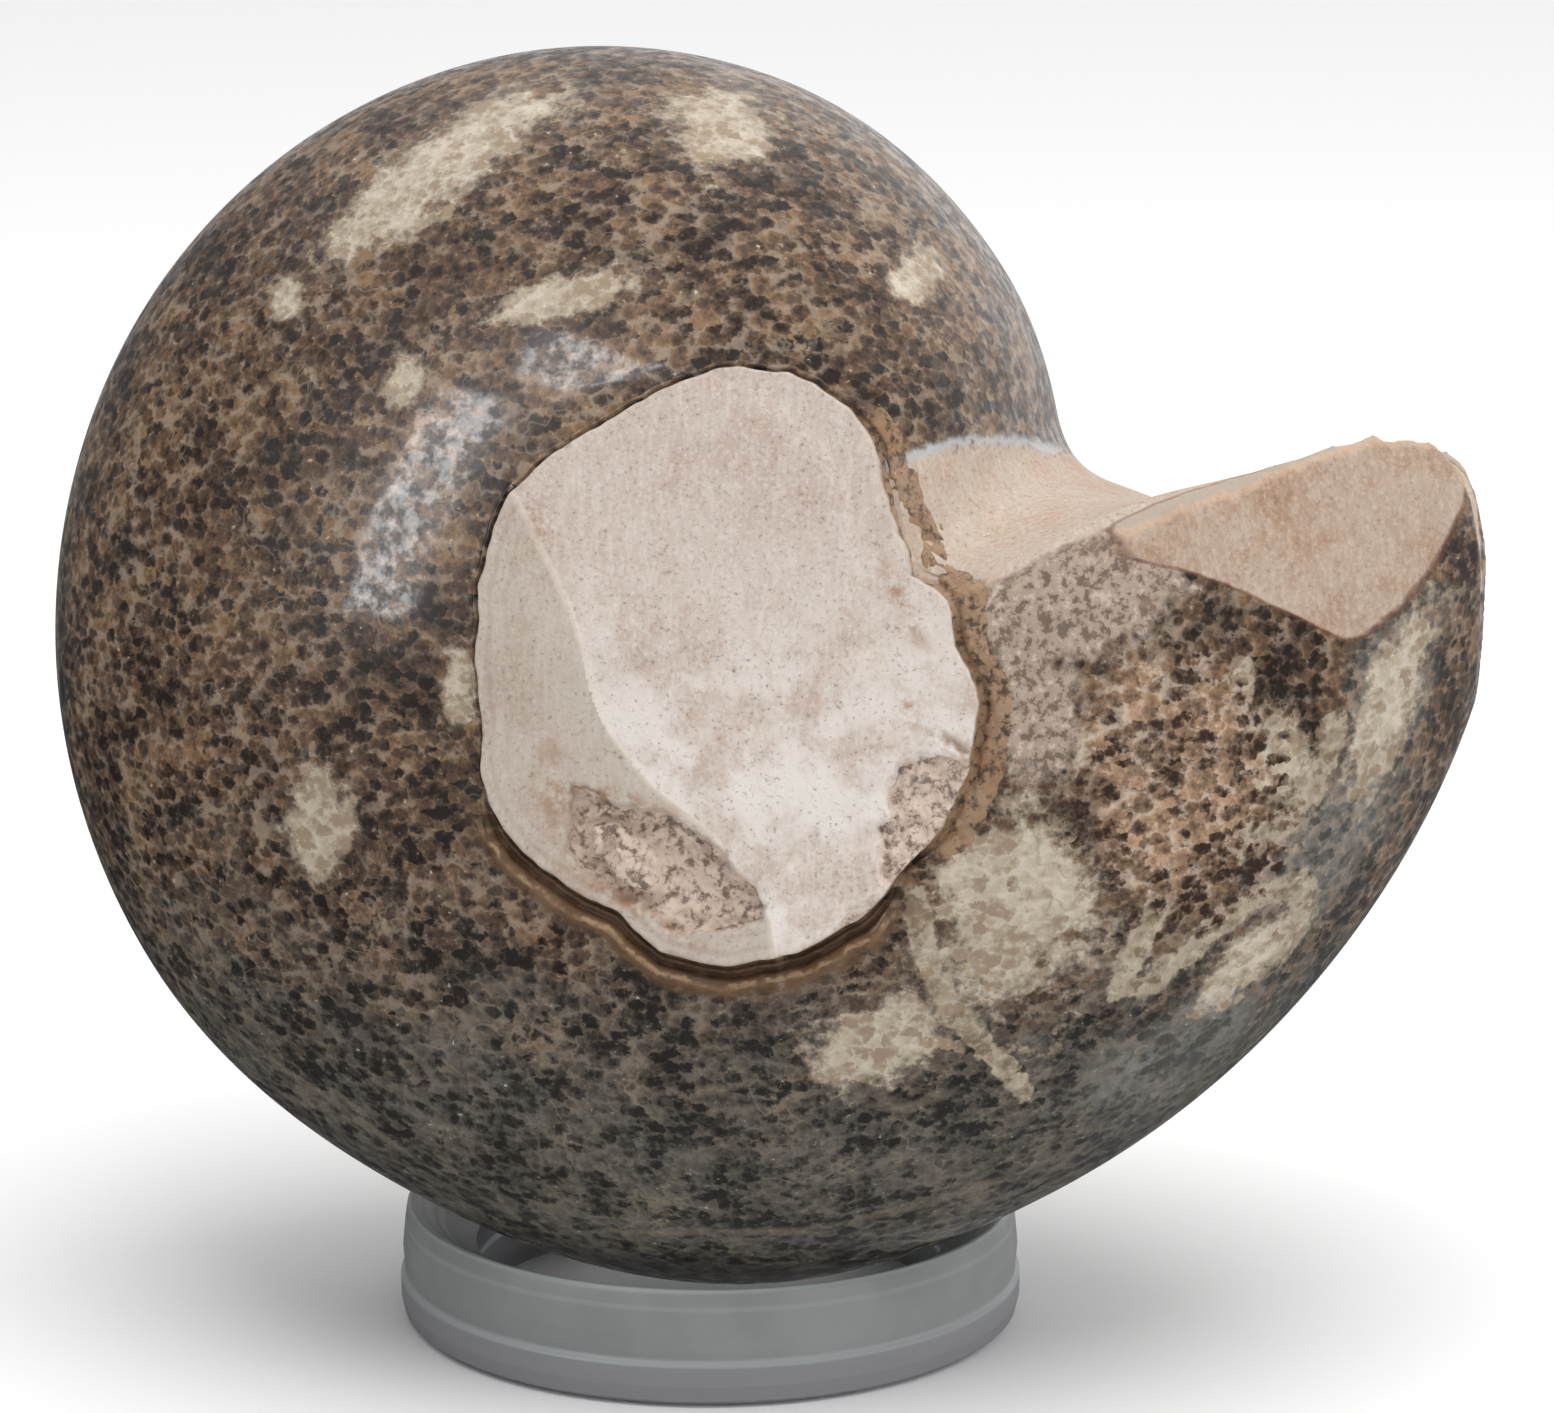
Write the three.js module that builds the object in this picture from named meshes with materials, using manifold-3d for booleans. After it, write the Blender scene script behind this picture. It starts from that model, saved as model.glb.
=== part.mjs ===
// A polished ammonite fossil, standing on its outer edge in a round ring stand.

import * as THREE from "three";
import { mergeVertices } from "three/addons/utils/BufferGeometryUtils.js";
import Module from "manifold-3d";

// Driving dimensions, in millimetres and degrees.

// The stone is described in its own coil frame: u to the right, v up, w away from the viewer along the coil's axis.
// The whorl's outer radius and half width, every 30 degrees of growth from 0 to 390.
const WHORL_STEP = 30;
const WHORL_RADIUS = [25.5, 28, 36.5, 46, 53.5, 58, 59, 57.5, 54, 52.9, 51, 53, 59, 68];
const WHORL_HALF_WIDTH = [36, 38, 38, 37.2, 36.2, 35.4, 34.9, 34, 34.6, 35.6, 35.4, 35.6, 35.4, 35.2];
const SECTION_POWER = 2.1;

// The flanks are ground flat, and a plug of paler rock fills the middle of the coil.
const FLANK_FLAT = 34;
const PLUG = { u: 2.4, v: -2, radiusU: 20, radiusV: 22.8, sides: 56 };

// The mouth is carved between two curves over u: its rim on the flanks, and the channel in the middle.
const MOUTH_RIM = [
  [-20, 14], [-4, 6], [8, -3.5], [16.5, 3], [30, 10.8], [40, 15.2], [53, 19.6], [56.5, 18.9], [59.5, 14], [62, 10], [70, -8],
];
const MOUTH_CHANNEL = [[-20, 17], [22, 15.5], [27.5, 14], [33, 12], [42, 7], [52, 2], [59.5, -1], [70, -5]];
const MOUTH_HALF_WIDTH = [[10, 34], [17, 33], [33.5, 28], [54, 15], [62, 11], [70, 9]];
const MOUTH_TOP = 32;

// The last whorl before its mouth is carved: sawn level above the rim.
const SAWN_HEIGHT = 24;

// Where the last whorl ends and the one inside it begins, as angles around the coil.
const FIRST_ANGLE = -75;
const MOUTH_END_ANGLE = 120;
const LAST_GROWTH = 390;

// The whorl inside the mouth stays a little proud of the surface that it was carved free of.
const INNER_ALLOWANCE = 1.004;

// Smaller flats, each through three points: one below the mouth's rim on each flank, and one on the plug's near face.
const RIM_FLAT = [[32.9, 8.3, -30.4], [52.7, 18.7, -15.9], [48.9, 1.9, -21.1]];
const PLUG_FLAT = [[-14.8, 11.7, -34], [2.7, -14.8, -34], [-17, -14, -32.2]];

// A broken hollow in the plug's near face, as a squashed ball.
const BREAK = { u: -2.5, v: -17.5, radius: 7.5, depth: 2.2 };

// The stone leans back, and its mouth is turned towards the viewer.
const LEAN = 12;
const TURN = 8;
const CENTRE_ABOVE_TABLE = 57.6;

// The ring stand, and where its axis is from the coil's centre.
const RING_OFFSET = { x: -4.6, y: 0.5 };
const RING_SIDES = 56;
const RING_PROFILE = [
  [18.6, 0], [23.7, 0], [24.7, 0.6], [25, 1.9], [25, 3.6], [24.6, 3.9], [24.8, 6], [24.6, 8.2],
  [24.4, 9.5], [24.1, 9.9], [23.5, 9.7], [22.4, 8.9], [18.6, 6.2], [18.6, 0],
];

// How finely the stone is faceted, and how its surface is found along each direction from a point inside it.
const STONE_DETAIL = 17;
const INNER_DETAIL = 15;
const MOUTH_STEP = 2.5;
const STONE_START = new THREE.Vector3(8, 0, -6);
const SEARCH_REACH = 112;
const SEARCH_STEPS = 160;
const SEARCH_HALVINGS = 14;

const radians = THREE.MathUtils.degToRad;

// A smooth curve through evenly spaced values.
function throughValues(values, position) {
  const last = values.length - 1;
  const s = THREE.MathUtils.clamp(position, 0, last - 1e-9);
  const i = Math.floor(s);
  const f = s - i;
  const at = (k) => values[THREE.MathUtils.clamp(k, 0, last)];
  const [a, b, c, d] = [at(i - 1), at(i), at(i + 1), at(i + 2)];
  return 0.5 * (2 * b + (c - a) * f + (2 * a - 5 * b + 4 * c - d) * f ** 2 + (3 * b - a - 3 * c + d) * f ** 3);
}

// A smooth curve through unevenly spaced points of x and height.
function throughPoints(points, position) {
  const last = points.length - 1;
  const x = THREE.MathUtils.clamp(position, points[0][0], points[last][0]);
  const rise = (k) => (points[k + 1][1] - points[k][1]) / (points[k + 1][0] - points[k][0]);
  const slope = (k) => {
    if (k === 0) return rise(0);
    if (k === last) return rise(last - 1);
    const before = points[k][0] - points[k - 1][0];
    const after = points[k + 1][0] - points[k][0];
    return (rise(k - 1) * after + rise(k) * before) / (before + after);
  };
  let i = 0;
  while (i < last - 1 && points[i + 1][0] <= x) i += 1;
  const width = points[i + 1][0] - points[i][0];
  const f = (x - points[i][0]) / width;
  const fromStart = points[i][1] * (2 * f ** 3 - 3 * f ** 2 + 1) + slope(i) * width * (f ** 3 - 2 * f ** 2 + f);
  const toEnd = points[i + 1][1] * (3 * f ** 2 - 2 * f ** 3) + slope(i + 1) * width * (f ** 3 - f ** 2);
  return fromStart + toEnd;
}

// How far a point is outside the whorl, at one stage of its growth.
function outsideWhorl(u, v, w, growth) {
  const radius = throughValues(WHORL_RADIUS, growth / WHORL_STEP);
  const halfWidth = throughValues(WHORL_HALF_WIDTH, growth / WHORL_STEP);
  const across = (Math.hypot(u, v) / radius) ** SECTION_POWER;
  const along = (Math.abs(w) / halfWidth) ** SECTION_POWER;
  const q = Math.max((across + along) ** (1 / SECTION_POWER), 1e-6);
  return Math.hypot(u, v, w) * (1 - 1 / q);
}

// How far a point is outside the whorl that shows inside the mouth.
function outsideInner(u, v, w) {
  const angle = THREE.MathUtils.radToDeg(Math.atan2(v, u));
  return outsideWhorl(u, v, w, Math.max(angle, 0));
}

// How far a point is outside the whole coil, before its mouth is carved.
function outsideCoil(u, v, w) {
  const angle = THREE.MathUtils.radToDeg(Math.atan2(v, u));
  if (angle >= MOUTH_END_ANGLE) return outsideInner(u, v, w);
  const last = outsideWhorl(u, v, w, Math.min(angle + 360, LAST_GROWTH));
  if (angle <= FIRST_ANGLE) return last;
  return Math.min(outsideInner(u, v, w), Math.max(last, v - SAWN_HEIGHT));
}

// The height of the carved mouth: a channel that rises to the rim on both flanks.
function mouthHeight(u, w) {
  const rim = throughPoints(MOUTH_RIM, u);
  const channel = throughPoints(MOUTH_CHANNEL, u);
  const fromMiddle = Math.min(Math.abs(w) / throughPoints(MOUTH_HALF_WIDTH, u), 1);
  return channel + (rim - channel) * fromMiddle ** 2;
}

// A ball whose points are moved in along their own directions until they meet a surface.
// In the geometry x is u, y is w and z is v.
function ballOnSurface(outside, detail) {
  const geometry = new THREE.IcosahedronGeometry(1, detail);
  const position = geometry.attributes.position;
  const direction = new THREE.Vector3();
  const point = new THREE.Vector3();
  const isOutside = (distance) => {
    point.copy(STONE_START).addScaledVector(direction, distance);
    return outside(point.x, point.z, point.y) > 0;
  };
  for (let i = 0; i < position.count; i += 1) {
    direction.fromBufferAttribute(position, i).normalize();
    let far = SEARCH_REACH;
    while (far > 0 && isOutside(far - SEARCH_REACH / SEARCH_STEPS)) far -= SEARCH_REACH / SEARCH_STEPS;
    let near = far - SEARCH_REACH / SEARCH_STEPS;
    for (let k = 0; k < SEARCH_HALVINGS; k += 1) {
      const middle = (near + far) / 2;
      if (isOutside(middle)) far = middle;
      else near = middle;
    }
    point.copy(STONE_START).addScaledVector(direction, near);
    position.setXYZ(i, point.x, point.y, point.z);
  }
  return geometry;
}

// The block of stone that is carved away over the mouth, with the mouth's form as its underside.
function mouthBlock() {
  const first = MOUTH_RIM[0][0];
  const length = MOUTH_RIM[MOUTH_RIM.length - 1][0] - first;
  const width = 2 * FLANK_FLAT + 12;
  const block = new THREE.BoxGeometry(length, width, 1, Math.round(length / MOUTH_STEP), Math.round(width / MOUTH_STEP), 1);
  block.translate(first + length / 2, 0, 0);
  const position = block.attributes.position;
  for (let i = 0; i < position.count; i += 1) {
    const isTop = position.getZ(i) > 0;
    position.setZ(i, isTop ? MOUTH_TOP : mouthHeight(position.getX(i), position.getY(i)));
  }
  return block;
}

// A big block whose one face lies on the plane through three points, on the side away from the coil's centre.
function blockOutside(points) {
  const size = 120;
  const corners = points.map(([u, v, w]) => new THREE.Vector3(u, w, v));
  const plane = new THREE.Plane().setFromCoplanarPoints(...corners);
  if (plane.constant > 0) plane.negate();
  const middle = corners[0].clone().add(corners[1]).add(corners[2]).divideScalar(3);
  const block = new THREE.BoxGeometry(size, size, size);
  block.translate(0, 0, size / 2);
  block.applyQuaternion(new THREE.Quaternion().setFromUnitVectors(new THREE.Vector3(0, 0, 1), plane.normal));
  return block.translate(middle.x, middle.y, middle.z);
}

// The same flat on the other flank.
function mirrored(points) {
  return points.map(([u, v, w]) => [u, v, -w]);
}

function flankSlab() {
  return new THREE.BoxGeometry(300, 2 * FLANK_FLAT, 300);
}

function plugGeometry() {
  const plug = new THREE.CylinderGeometry(1, 1, 2 * FLANK_FLAT, PLUG.sides);
  plug.scale(PLUG.radiusU, 1, PLUG.radiusV);
  return plug.translate(PLUG.u, 0, PLUG.v);
}

function breakGeometry() {
  const ball = new THREE.IcosahedronGeometry(1, 4);
  ball.scale(BREAK.radius, BREAK.depth, BREAK.radius);
  return ball.translate(BREAK.u, -FLANK_FLAT, BREAK.v);
}

const wasm = await Module();
wasm.setup();

function toSolid(geometry) {
  geometry.deleteAttribute("normal");
  geometry.deleteAttribute("uv");
  const merged = mergeVertices(geometry, 1e-4);
  return new wasm.Manifold(new wasm.Mesh({
    numProp: 3,
    vertProperties: new Float32Array(merged.attributes.position.array),
    triVerts: new Uint32Array(merged.index.array),
  }));
}

function toGeometry(solid) {
  const mesh = solid.getMesh();
  const geometry = new THREE.BufferGeometry();
  geometry.setAttribute("position", new THREE.BufferAttribute(mesh.vertProperties, 3));
  geometry.setIndex(new THREE.BufferAttribute(mesh.triVerts, 1));
  geometry.computeVertexNormals();
  return geometry;
}

function fossil() {
  const inner = toSolid(ballOnSurface(outsideInner, INNER_DETAIL)).scale(INNER_ALLOWANCE);
  const carvedAway = toSolid(mouthBlock()).subtract(inner);
  const stone = toSolid(ballOnSurface(outsideCoil, STONE_DETAIL))
    .subtract(carvedAway)
    .add(toSolid(plugGeometry()))
    .intersect(toSolid(flankSlab()))
    .subtract(toSolid(blockOutside(RIM_FLAT)))
    .subtract(toSolid(blockOutside(mirrored(RIM_FLAT))))
    .subtract(toSolid(blockOutside(PLUG_FLAT)))
    .subtract(toSolid(breakGeometry()));
  const material = new THREE.MeshStandardMaterial({ color: 0x6b5847, roughness: 0.3, metalness: 0 });
  const mesh = new THREE.Mesh(toGeometry(stone), material);
  mesh.name = "fossil";
  mesh.rotation.set(-radians(LEAN), 0, -radians(TURN), "ZYX");
  mesh.position.z = CENTRE_ABOVE_TABLE;
  return mesh;
}

function ringStand() {
  const profile = RING_PROFILE.map(([radius, height]) => new THREE.Vector2(radius, height));
  const geometry = new THREE.LatheGeometry(profile, RING_SIDES).rotateX(Math.PI / 2);
  const material = new THREE.MeshStandardMaterial({ color: 0x7d8086, roughness: 0.45, metalness: 0 });
  const mesh = new THREE.Mesh(geometry, material);
  mesh.name = "ring_stand";
  mesh.position.set(RING_OFFSET.x, RING_OFFSET.y, 0);
  return mesh;
}

// The whole object, moved so that the middle of its box stands over the origin.
const pieces = new THREE.Group();
pieces.add(fossil(), ringStand());
const box = new THREE.Box3().setFromObject(pieces, true);
const middle = box.getCenter(new THREE.Vector3());
pieces.position.set(-middle.x, -middle.y, 0);

const part = new THREE.Group();
part.add(pieces);

export default part;
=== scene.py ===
# %% [markdown]
# This lesson dresses a polished ammonite and the ring that it stands on. The solid model comes in first as
# a fixed frame, and every finer mesh made here takes its place from that frame. Lengths are in
# millimetres, as a maker would measure them, and turn into metres only when a mesh is made.

# %% Load the solid model
import math

import bmesh
import bpy
import numpy as np
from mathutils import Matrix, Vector, noise


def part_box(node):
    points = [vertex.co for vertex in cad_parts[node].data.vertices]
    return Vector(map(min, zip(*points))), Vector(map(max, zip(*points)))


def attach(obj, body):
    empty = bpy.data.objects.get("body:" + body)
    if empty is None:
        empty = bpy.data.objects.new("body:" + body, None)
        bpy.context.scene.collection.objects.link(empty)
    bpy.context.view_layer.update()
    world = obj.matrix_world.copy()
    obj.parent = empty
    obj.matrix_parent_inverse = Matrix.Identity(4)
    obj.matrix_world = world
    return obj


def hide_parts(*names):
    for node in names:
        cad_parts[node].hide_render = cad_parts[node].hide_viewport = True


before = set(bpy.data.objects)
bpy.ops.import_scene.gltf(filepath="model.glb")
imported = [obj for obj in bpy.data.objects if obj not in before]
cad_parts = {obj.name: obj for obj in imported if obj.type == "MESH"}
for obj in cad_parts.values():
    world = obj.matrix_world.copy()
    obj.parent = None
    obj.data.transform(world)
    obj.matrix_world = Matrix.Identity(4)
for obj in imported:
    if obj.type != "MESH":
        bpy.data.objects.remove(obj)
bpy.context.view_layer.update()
MM = 0.001

# %% [markdown]
# An ammonite is easiest to describe in a frame of its own: u to the right and v up across the flank, and
# w through the coil, away from the viewer. The stone leans back on its ring and is turned a little, so one
# function carries points from that frame to the model's frame.

# %% The coil's own frame
LEAN = math.radians(12)
TURN = math.radians(8)
RING_OFFSET = (-4.6, 0.5)
CENTRE_HEIGHT = 57.6
ring_low, ring_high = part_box("ring_stand")
ring_centre = (ring_low + ring_high) / (2 * MM)
coil_centre = np.array([ring_centre.x - RING_OFFSET[0], ring_centre.y - RING_OFFSET[1], CENTRE_HEIGHT])


def coil_to_model(points):
    """Carry coil points (u, v, w) in millimetres to the model's frame in metres."""
    u, v, w = np.asarray(points, float).T
    back = w * math.cos(LEAN) + v * math.sin(LEAN)
    up = v * math.cos(LEAN) - w * math.sin(LEAN)
    right = u * math.cos(TURN) + back * math.sin(TURN)
    back = back * math.cos(TURN) - u * math.sin(TURN)
    return (np.stack([right, back, up], 1) + coil_centre) * MM


print("coil centre", coil_centre.round(2))

# %% [markdown]
# The camera stands where the photographer stood: in front of the stone, half a metre away and a little
# above it, with a long lens. A long lens flattens the stone as it does in a catalogue picture.

# %% Camera
CAMERA_TARGET = Vector((0.32, -1.41, 52.47)) * MM
CAMERA_DISTANCE = 500 * MM
CAMERA_ELEVATION = math.radians(13.25)
CAMERA_LENS = 141.3
CAMERA_SENSOR = 36


def add_object(name, data):
    """Put a new object that shows this data in the scene."""
    made = bpy.data.objects.new(name, data)
    bpy.context.scene.collection.objects.link(made)
    return made


camera_data = bpy.data.cameras.new("studio_camera")
camera_data.lens = CAMERA_LENS
camera_data.sensor_width = CAMERA_SENSOR
camera = add_object("studio_camera", camera_data)
view_back = Vector((0, -math.cos(CAMERA_ELEVATION), math.sin(CAMERA_ELEVATION)))
camera.location = CAMERA_TARGET + view_back * CAMERA_DISTANCE
camera.rotation_euler = (-view_back).to_track_quat("-Z", "Y").to_euler()
bpy.context.scene.camera = camera
print("camera at", [round(value, 3) for value in camera.location])

# %% [markdown]
# A few small curves and blends shape the whole stone. The first two run smoothly through measured values.
# The next two join or cut forms with a soft edge, as grinding and polishing do, and the last one fades from
# one state to another. Blender's own booleans would leave hard edges that no polisher makes.

# %% Curves and soft joins
def through_values(values, place):
    """Run smoothly through evenly spaced values; place counts the spans from the first one."""
    values = np.asarray(values, float)
    last = len(values) - 1
    place = np.clip(place, 0, last - 1e-9)
    span = np.floor(place).astype(int)
    t = place - span
    before, start, end, after = (values[np.clip(span + k, 0, last)] for k in (-1, 0, 1, 2))
    curve = 2 * start + (end - before) * t
    curve += (2 * before - 5 * start + 4 * end - after) * t**2
    curve += (3 * start - before - 3 * end + after) * t**3
    return curve / 2


def through_points(points, x):
    """Run smoothly through unevenly spaced (x, y) points without overshooting."""
    xs, ys = np.asarray(points, float).T
    x = np.clip(x, xs[0], xs[-1])
    k = np.clip(np.searchsorted(xs, x, side="right") - 1, 0, len(xs) - 2)
    width = np.diff(xs)
    slope = np.diff(ys) / width
    inner = (slope[:-1] * width[1:] + slope[1:] * width[:-1]) / (width[1:] + width[:-1])
    tangent = np.concatenate([slope[:1], inner, slope[-1:]])
    h = width[k]
    t = (x - xs[k]) / h
    start = ys[k] * (2 * t**3 - 3 * t**2 + 1) + tangent[k] * h * (t**3 - 2 * t**2 + t)
    return start + ys[k + 1] * (3 * t**2 - 2 * t**3) + tangent[k + 1] * h * (t**3 - t**2)


def soft_min(a, b, reach):
    """Join two forms with a hollow fillet of the given reach."""
    share = np.clip(0.5 + 0.5 * (b - a) / reach, 0, 1)
    return b + (a - b) * share - reach * share * (1 - share)


def soft_max(a, b, reach):
    """Cut one form by another and round the edge that the cut leaves."""
    return -soft_min(-a, -b, reach)


def smooth_step(x, low, high):
    """Rise softly from nought at low to one at high."""
    t = np.clip((x - low) / (high - low), 0, 1)
    return t * t * (3 - 2 * t)


# %% [markdown]
# The shell is a fat tube wound round itself. Its radius and half width are measured every thirty degrees
# round the coil, the last whorl swallows most of the one before it, and its section is close to an
# ellipse. The last whorl ends in a mouth that was carved and ground: two lobes with a channel between
# them. Written as one function that is negative inside the stone, all of this can be sampled as finely as
# the finish needs.

# %% The stone as a function
# Radius and half width are given at every step of growth in degrees.
WHORL_STEP = 30
WHORL_RADIUS = [25.5, 28, 36.5, 46, 53.5, 58, 59, 57.5, 54, 52.9, 51, 53, 59, 68]
WHORL_HALF_WIDTH = [36, 38, 38, 37.2, 36.2, 35.4, 34.9, 34, 34.6, 35.6, 35.4, 35.6, 35.4, 35.2]
SECTION_POWER = 2.1
FLANK_FLAT = 34
MOUTH_RIM = [(-20, 14), (-4, 6), (8, -3.5), (16.5, 3), (30, 10.8), (40, 15.2), (53, 19.6), (56.5, 18.9),
             (59.5, 14), (62, 10), (70, -8)]
MOUTH_CHANNEL = [(-20, 17), (22, 15.5), (27.5, 14), (33, 12), (42, 7), (52, 2), (59.5, -1), (70, -5)]
MOUTH_HALF_WIDTH = [(10, 34), (17, 33), (33.5, 28), (54, 15), (62, 11), (70, 9)]
FIRST_ANGLE = -75
MOUTH_END_ANGLE = 120
LAST_GROWTH = 390
RIM_ROUNDING = 2.2
FOLD_ROUNDING = 4.0
FACET_ROUNDING = 2.2
GROUND_ROUNDING = 0.6
MOUTH_SLOPE = 0.85
# The flat on the lobe passes through three points of the near flank.
RIM_FACET = [(32.9, 8.3, -30.4), (52.7, 18.7, -15.9), (48.9, 1.9, -21.1)]


def whorl(u, v, w, growth):
    """Measure how far points lie outside the whorl that has grown this many degrees."""
    radius = through_values(WHORL_RADIUS, growth / WHORL_STEP)
    half_width = through_values(WHORL_HALF_WIDTH, growth / WHORL_STEP)
    power = SECTION_POWER
    size = ((np.hypot(u, v) / radius) ** power + (np.abs(w) / half_width) ** power) ** (1 / power)
    return np.sqrt(u * u + v * v + w * w) * (1 - 1 / np.maximum(size, 1e-6))


def above_mouth(u, v, w):
    """Measure the height of points above the carved mouth."""
    rim = through_points(MOUTH_RIM, u)
    channel = through_points(MOUTH_CHANNEL, u)
    across = np.clip(np.abs(w) / through_points(MOUTH_HALF_WIDTH, u), 0, 1)
    return v - channel - (rim - channel) * across**2


def plane_through(corners):
    """Return the outward direction and offset of the plane through three points of the near flank."""
    a, b, c = np.asarray(corners, float)
    direction = np.cross(b - a, c - a)
    direction /= np.linalg.norm(direction)
    if direction[2] > 0:
        direction = -direction
    return direction, direction @ a


rim_direction, rim_offset = plane_through(RIM_FACET)


def outside_rim_facet(u, v, w):
    """Measure how far points stand out of the flat that is ground on the lobe, on either flank."""
    return u * rim_direction[0] + v * rim_direction[1] - np.abs(w) * rim_direction[2] - rim_offset


def shell_parts(u, v, w):
    """Return the distances to the earlier whorl, to the last whorl, and above the mouth."""
    angle = np.degrees(np.arctan2(v, u))
    earlier = whorl(u, v, w, np.maximum(angle, 0))
    last = whorl(u, v, w, np.minimum(angle + 360, LAST_GROWTH))
    return angle, earlier, last, above_mouth(u, v, w) * MOUTH_SLOPE


def outside_shell(u, v, w):
    """Measure how far points lie outside the stone, before the matrix in its navel is added."""
    angle, earlier, last, mouth = shell_parts(u, v, w)
    carved = soft_max(last, mouth, RIM_ROUNDING)
    carved = soft_max(carved, outside_rim_facet(u, v, w), FACET_ROUNDING)
    open_side = np.where(angle < MOUTH_END_ANGLE, soft_min(earlier, carved, FOLD_ROUNDING), earlier)
    body = np.where(angle > FIRST_ANGLE, open_side, last)
    return soft_max(body, np.abs(w) - FLANK_FLAT, GROUND_ROUNDING)


print("the flank stands out", FLANK_FLAT, "mm from the middle of the coil")

# %% [markdown]
# Mud filled the navel of the shell and turned to stone. When the fossil was ground, that plug of pinkish
# rock was cut flat, with one corner sloping away. Its outline is ragged, so it is written down as points
# round the flank. Round its lower left runs a broken lip of brown shell with a groove beside it, and the
# right edge is crumbly.

# %% The navel's outline
PLUG_CENTRE = np.array([2.4, -2.0])
PLUG_OUTLINE = [(1.1, 21), (5.8, 21), (10.4, 18.3), (12.4, 15.6), (13.4, 12), (14.4, 8.7), (15.7, 5.7),
                (18.3, 3.8), (19.3, 0.4), (21.3, -3.8), (20.7, -7.5), (19, -12.5), (15.3, -17.1),
                (12.7, -20.4), (7.8, -23.4), (1.2, -24.6), (-2.8, -23.7), (-6.1, -20.8), (-9.7, -19.1),
                (-13.4, -16.7), (-16.7, -12.8), (-17.3, -6.2), (-17.6, 0.4), (-17, 7.1), (-15.3, 11.3),
                (-8.4, 16.5), (-2.2, 20)]
OUTLINE_RAGGEDNESS = 0.35
LIP_ARC = (213, 304)
CRUMBLE_ARC = (318, 425)
LIP_MARGIN = 2.9
CRUMBLE_MARGIN = 3.2
PLAIN_MARGIN = 0.8
ARC_SOFTNESS = 8


def plug_radius(bearing):
    """Return the plug's radius at bearings in degrees round its centre."""
    across, up = (np.asarray(PLUG_OUTLINE) - PLUG_CENTRE).T
    return np.interp(bearing, np.degrees(np.arctan2(up, across)), np.hypot(across, up), period=360)


def within_arc(bearing, arc):
    """Return one inside an arc of bearings, falling softly to nought beyond its ends."""
    middle = (arc[0] + arc[1]) / 2
    half = (arc[1] - arc[0]) / 2
    away = np.abs((bearing - middle + 180) % 360 - 180)
    return 1 - smooth_step(away, half - ARC_SOFTNESS, half + ARC_SOFTNESS)


def plug_place(u, v):
    """Return the bearing of points round the plug, and how far they lie outside its outline."""
    across = u - PLUG_CENTRE[0]
    up = v - PLUG_CENTRE[1]
    bearing = np.degrees(np.arctan2(up, across))
    return bearing, np.hypot(across, up) - plug_radius(bearing)


def plug_margin(bearing):
    """Return how wide the broken band round the plug is."""
    wide = PLAIN_MARGIN + (LIP_MARGIN - PLAIN_MARGIN) * within_arc(bearing, LIP_ARC)
    return wide + (CRUMBLE_MARGIN - PLAIN_MARGIN) * within_arc(bearing, CRUMBLE_ARC)


print("plug radius", plug_radius(np.arange(0, 360, 90)).round(1))

# %% [markdown]
# The coil could be lofted ring by ring, but whorls that merge leave awkward seams. The solid model already
# has the right topology, so a copy of it is remeshed into small even quads instead, and each point is then
# drawn along the function's slope until it lies exactly on the stone's surface. A few rounds of relaxing
# in between keep the quads even. The net stays a hair inside the solid model.

# %% Draw a fine net onto the surface
CELL = 0.67
HAIR = 0.06
DRAWING_ROUNDS = 6
PROBE = 0.04
LONGEST_PULL = 0.8
LEAST_SLOPE = 0.05
BED_DEPTH = 30.8
BED_INSET = 1.3
FAR_AWAY = 99.0
MOUTH_ARC = (-40, 80)
LOBE_START = 18
EDGE_ZONE = (-2.6, -0.8)
SAME_POINT = 1e-7


def model_to_coil(points):
    """Carry points of the model's frame in metres back to coil millimetres."""
    right, back, up = (np.asarray(points, float) / MM - coil_centre).T
    u = right * math.cos(TURN) - back * math.sin(TURN)
    back = back * math.cos(TURN) + right * math.sin(TURN)
    return np.stack([u, up * math.cos(LEAN) + back * math.sin(LEAN),
                     back * math.cos(LEAN) - up * math.sin(LEAN)], 1)


def outside_coil(points):
    """Measure the stone with a bed cut in each flank, in which the plug's own mesh lies."""
    u, v, w = points.T
    bearing, beyond = plug_place(u, v)
    bed = np.where(beyond < plug_margin(bearing) - BED_INSET, np.abs(w) - BED_DEPTH, -FAR_AWAY)
    return np.maximum(outside_shell(u, v, w), bed) + HAIR


def drawn_onto(measure, points, rounds):
    """Move points along the slope of the measure until they lie where it is nought."""
    for _ in range(rounds):
        value = measure(points)
        slope = np.stack([measure(points + step) - measure(points - step) for step in np.eye(3) * PROBE], 1)
        slope /= 2 * PROBE
        pull = value[:, None] * slope / np.maximum((slope**2).sum(1, keepdims=True), LEAST_SLOPE)
        length = np.linalg.norm(pull, axis=1, keepdims=True)
        points = points - pull * np.minimum(1, LONGEST_PULL / np.maximum(length, 1e-9))
    return points


def relaxed(points, quads, share):
    """Draw points towards the middle of their neighbours."""
    here = np.concatenate([quads, quads]).ravel()
    beside = np.concatenate([np.roll(quads, 1, axis=1), np.roll(quads, -1, axis=1)]).ravel()
    count = np.bincount(here, minlength=len(points))
    total = [np.bincount(here, weights=points[beside, axis], minlength=len(points)) for axis in range(3)]
    return points + (np.stack(total, 1) / count[:, None] - points) * share


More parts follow.
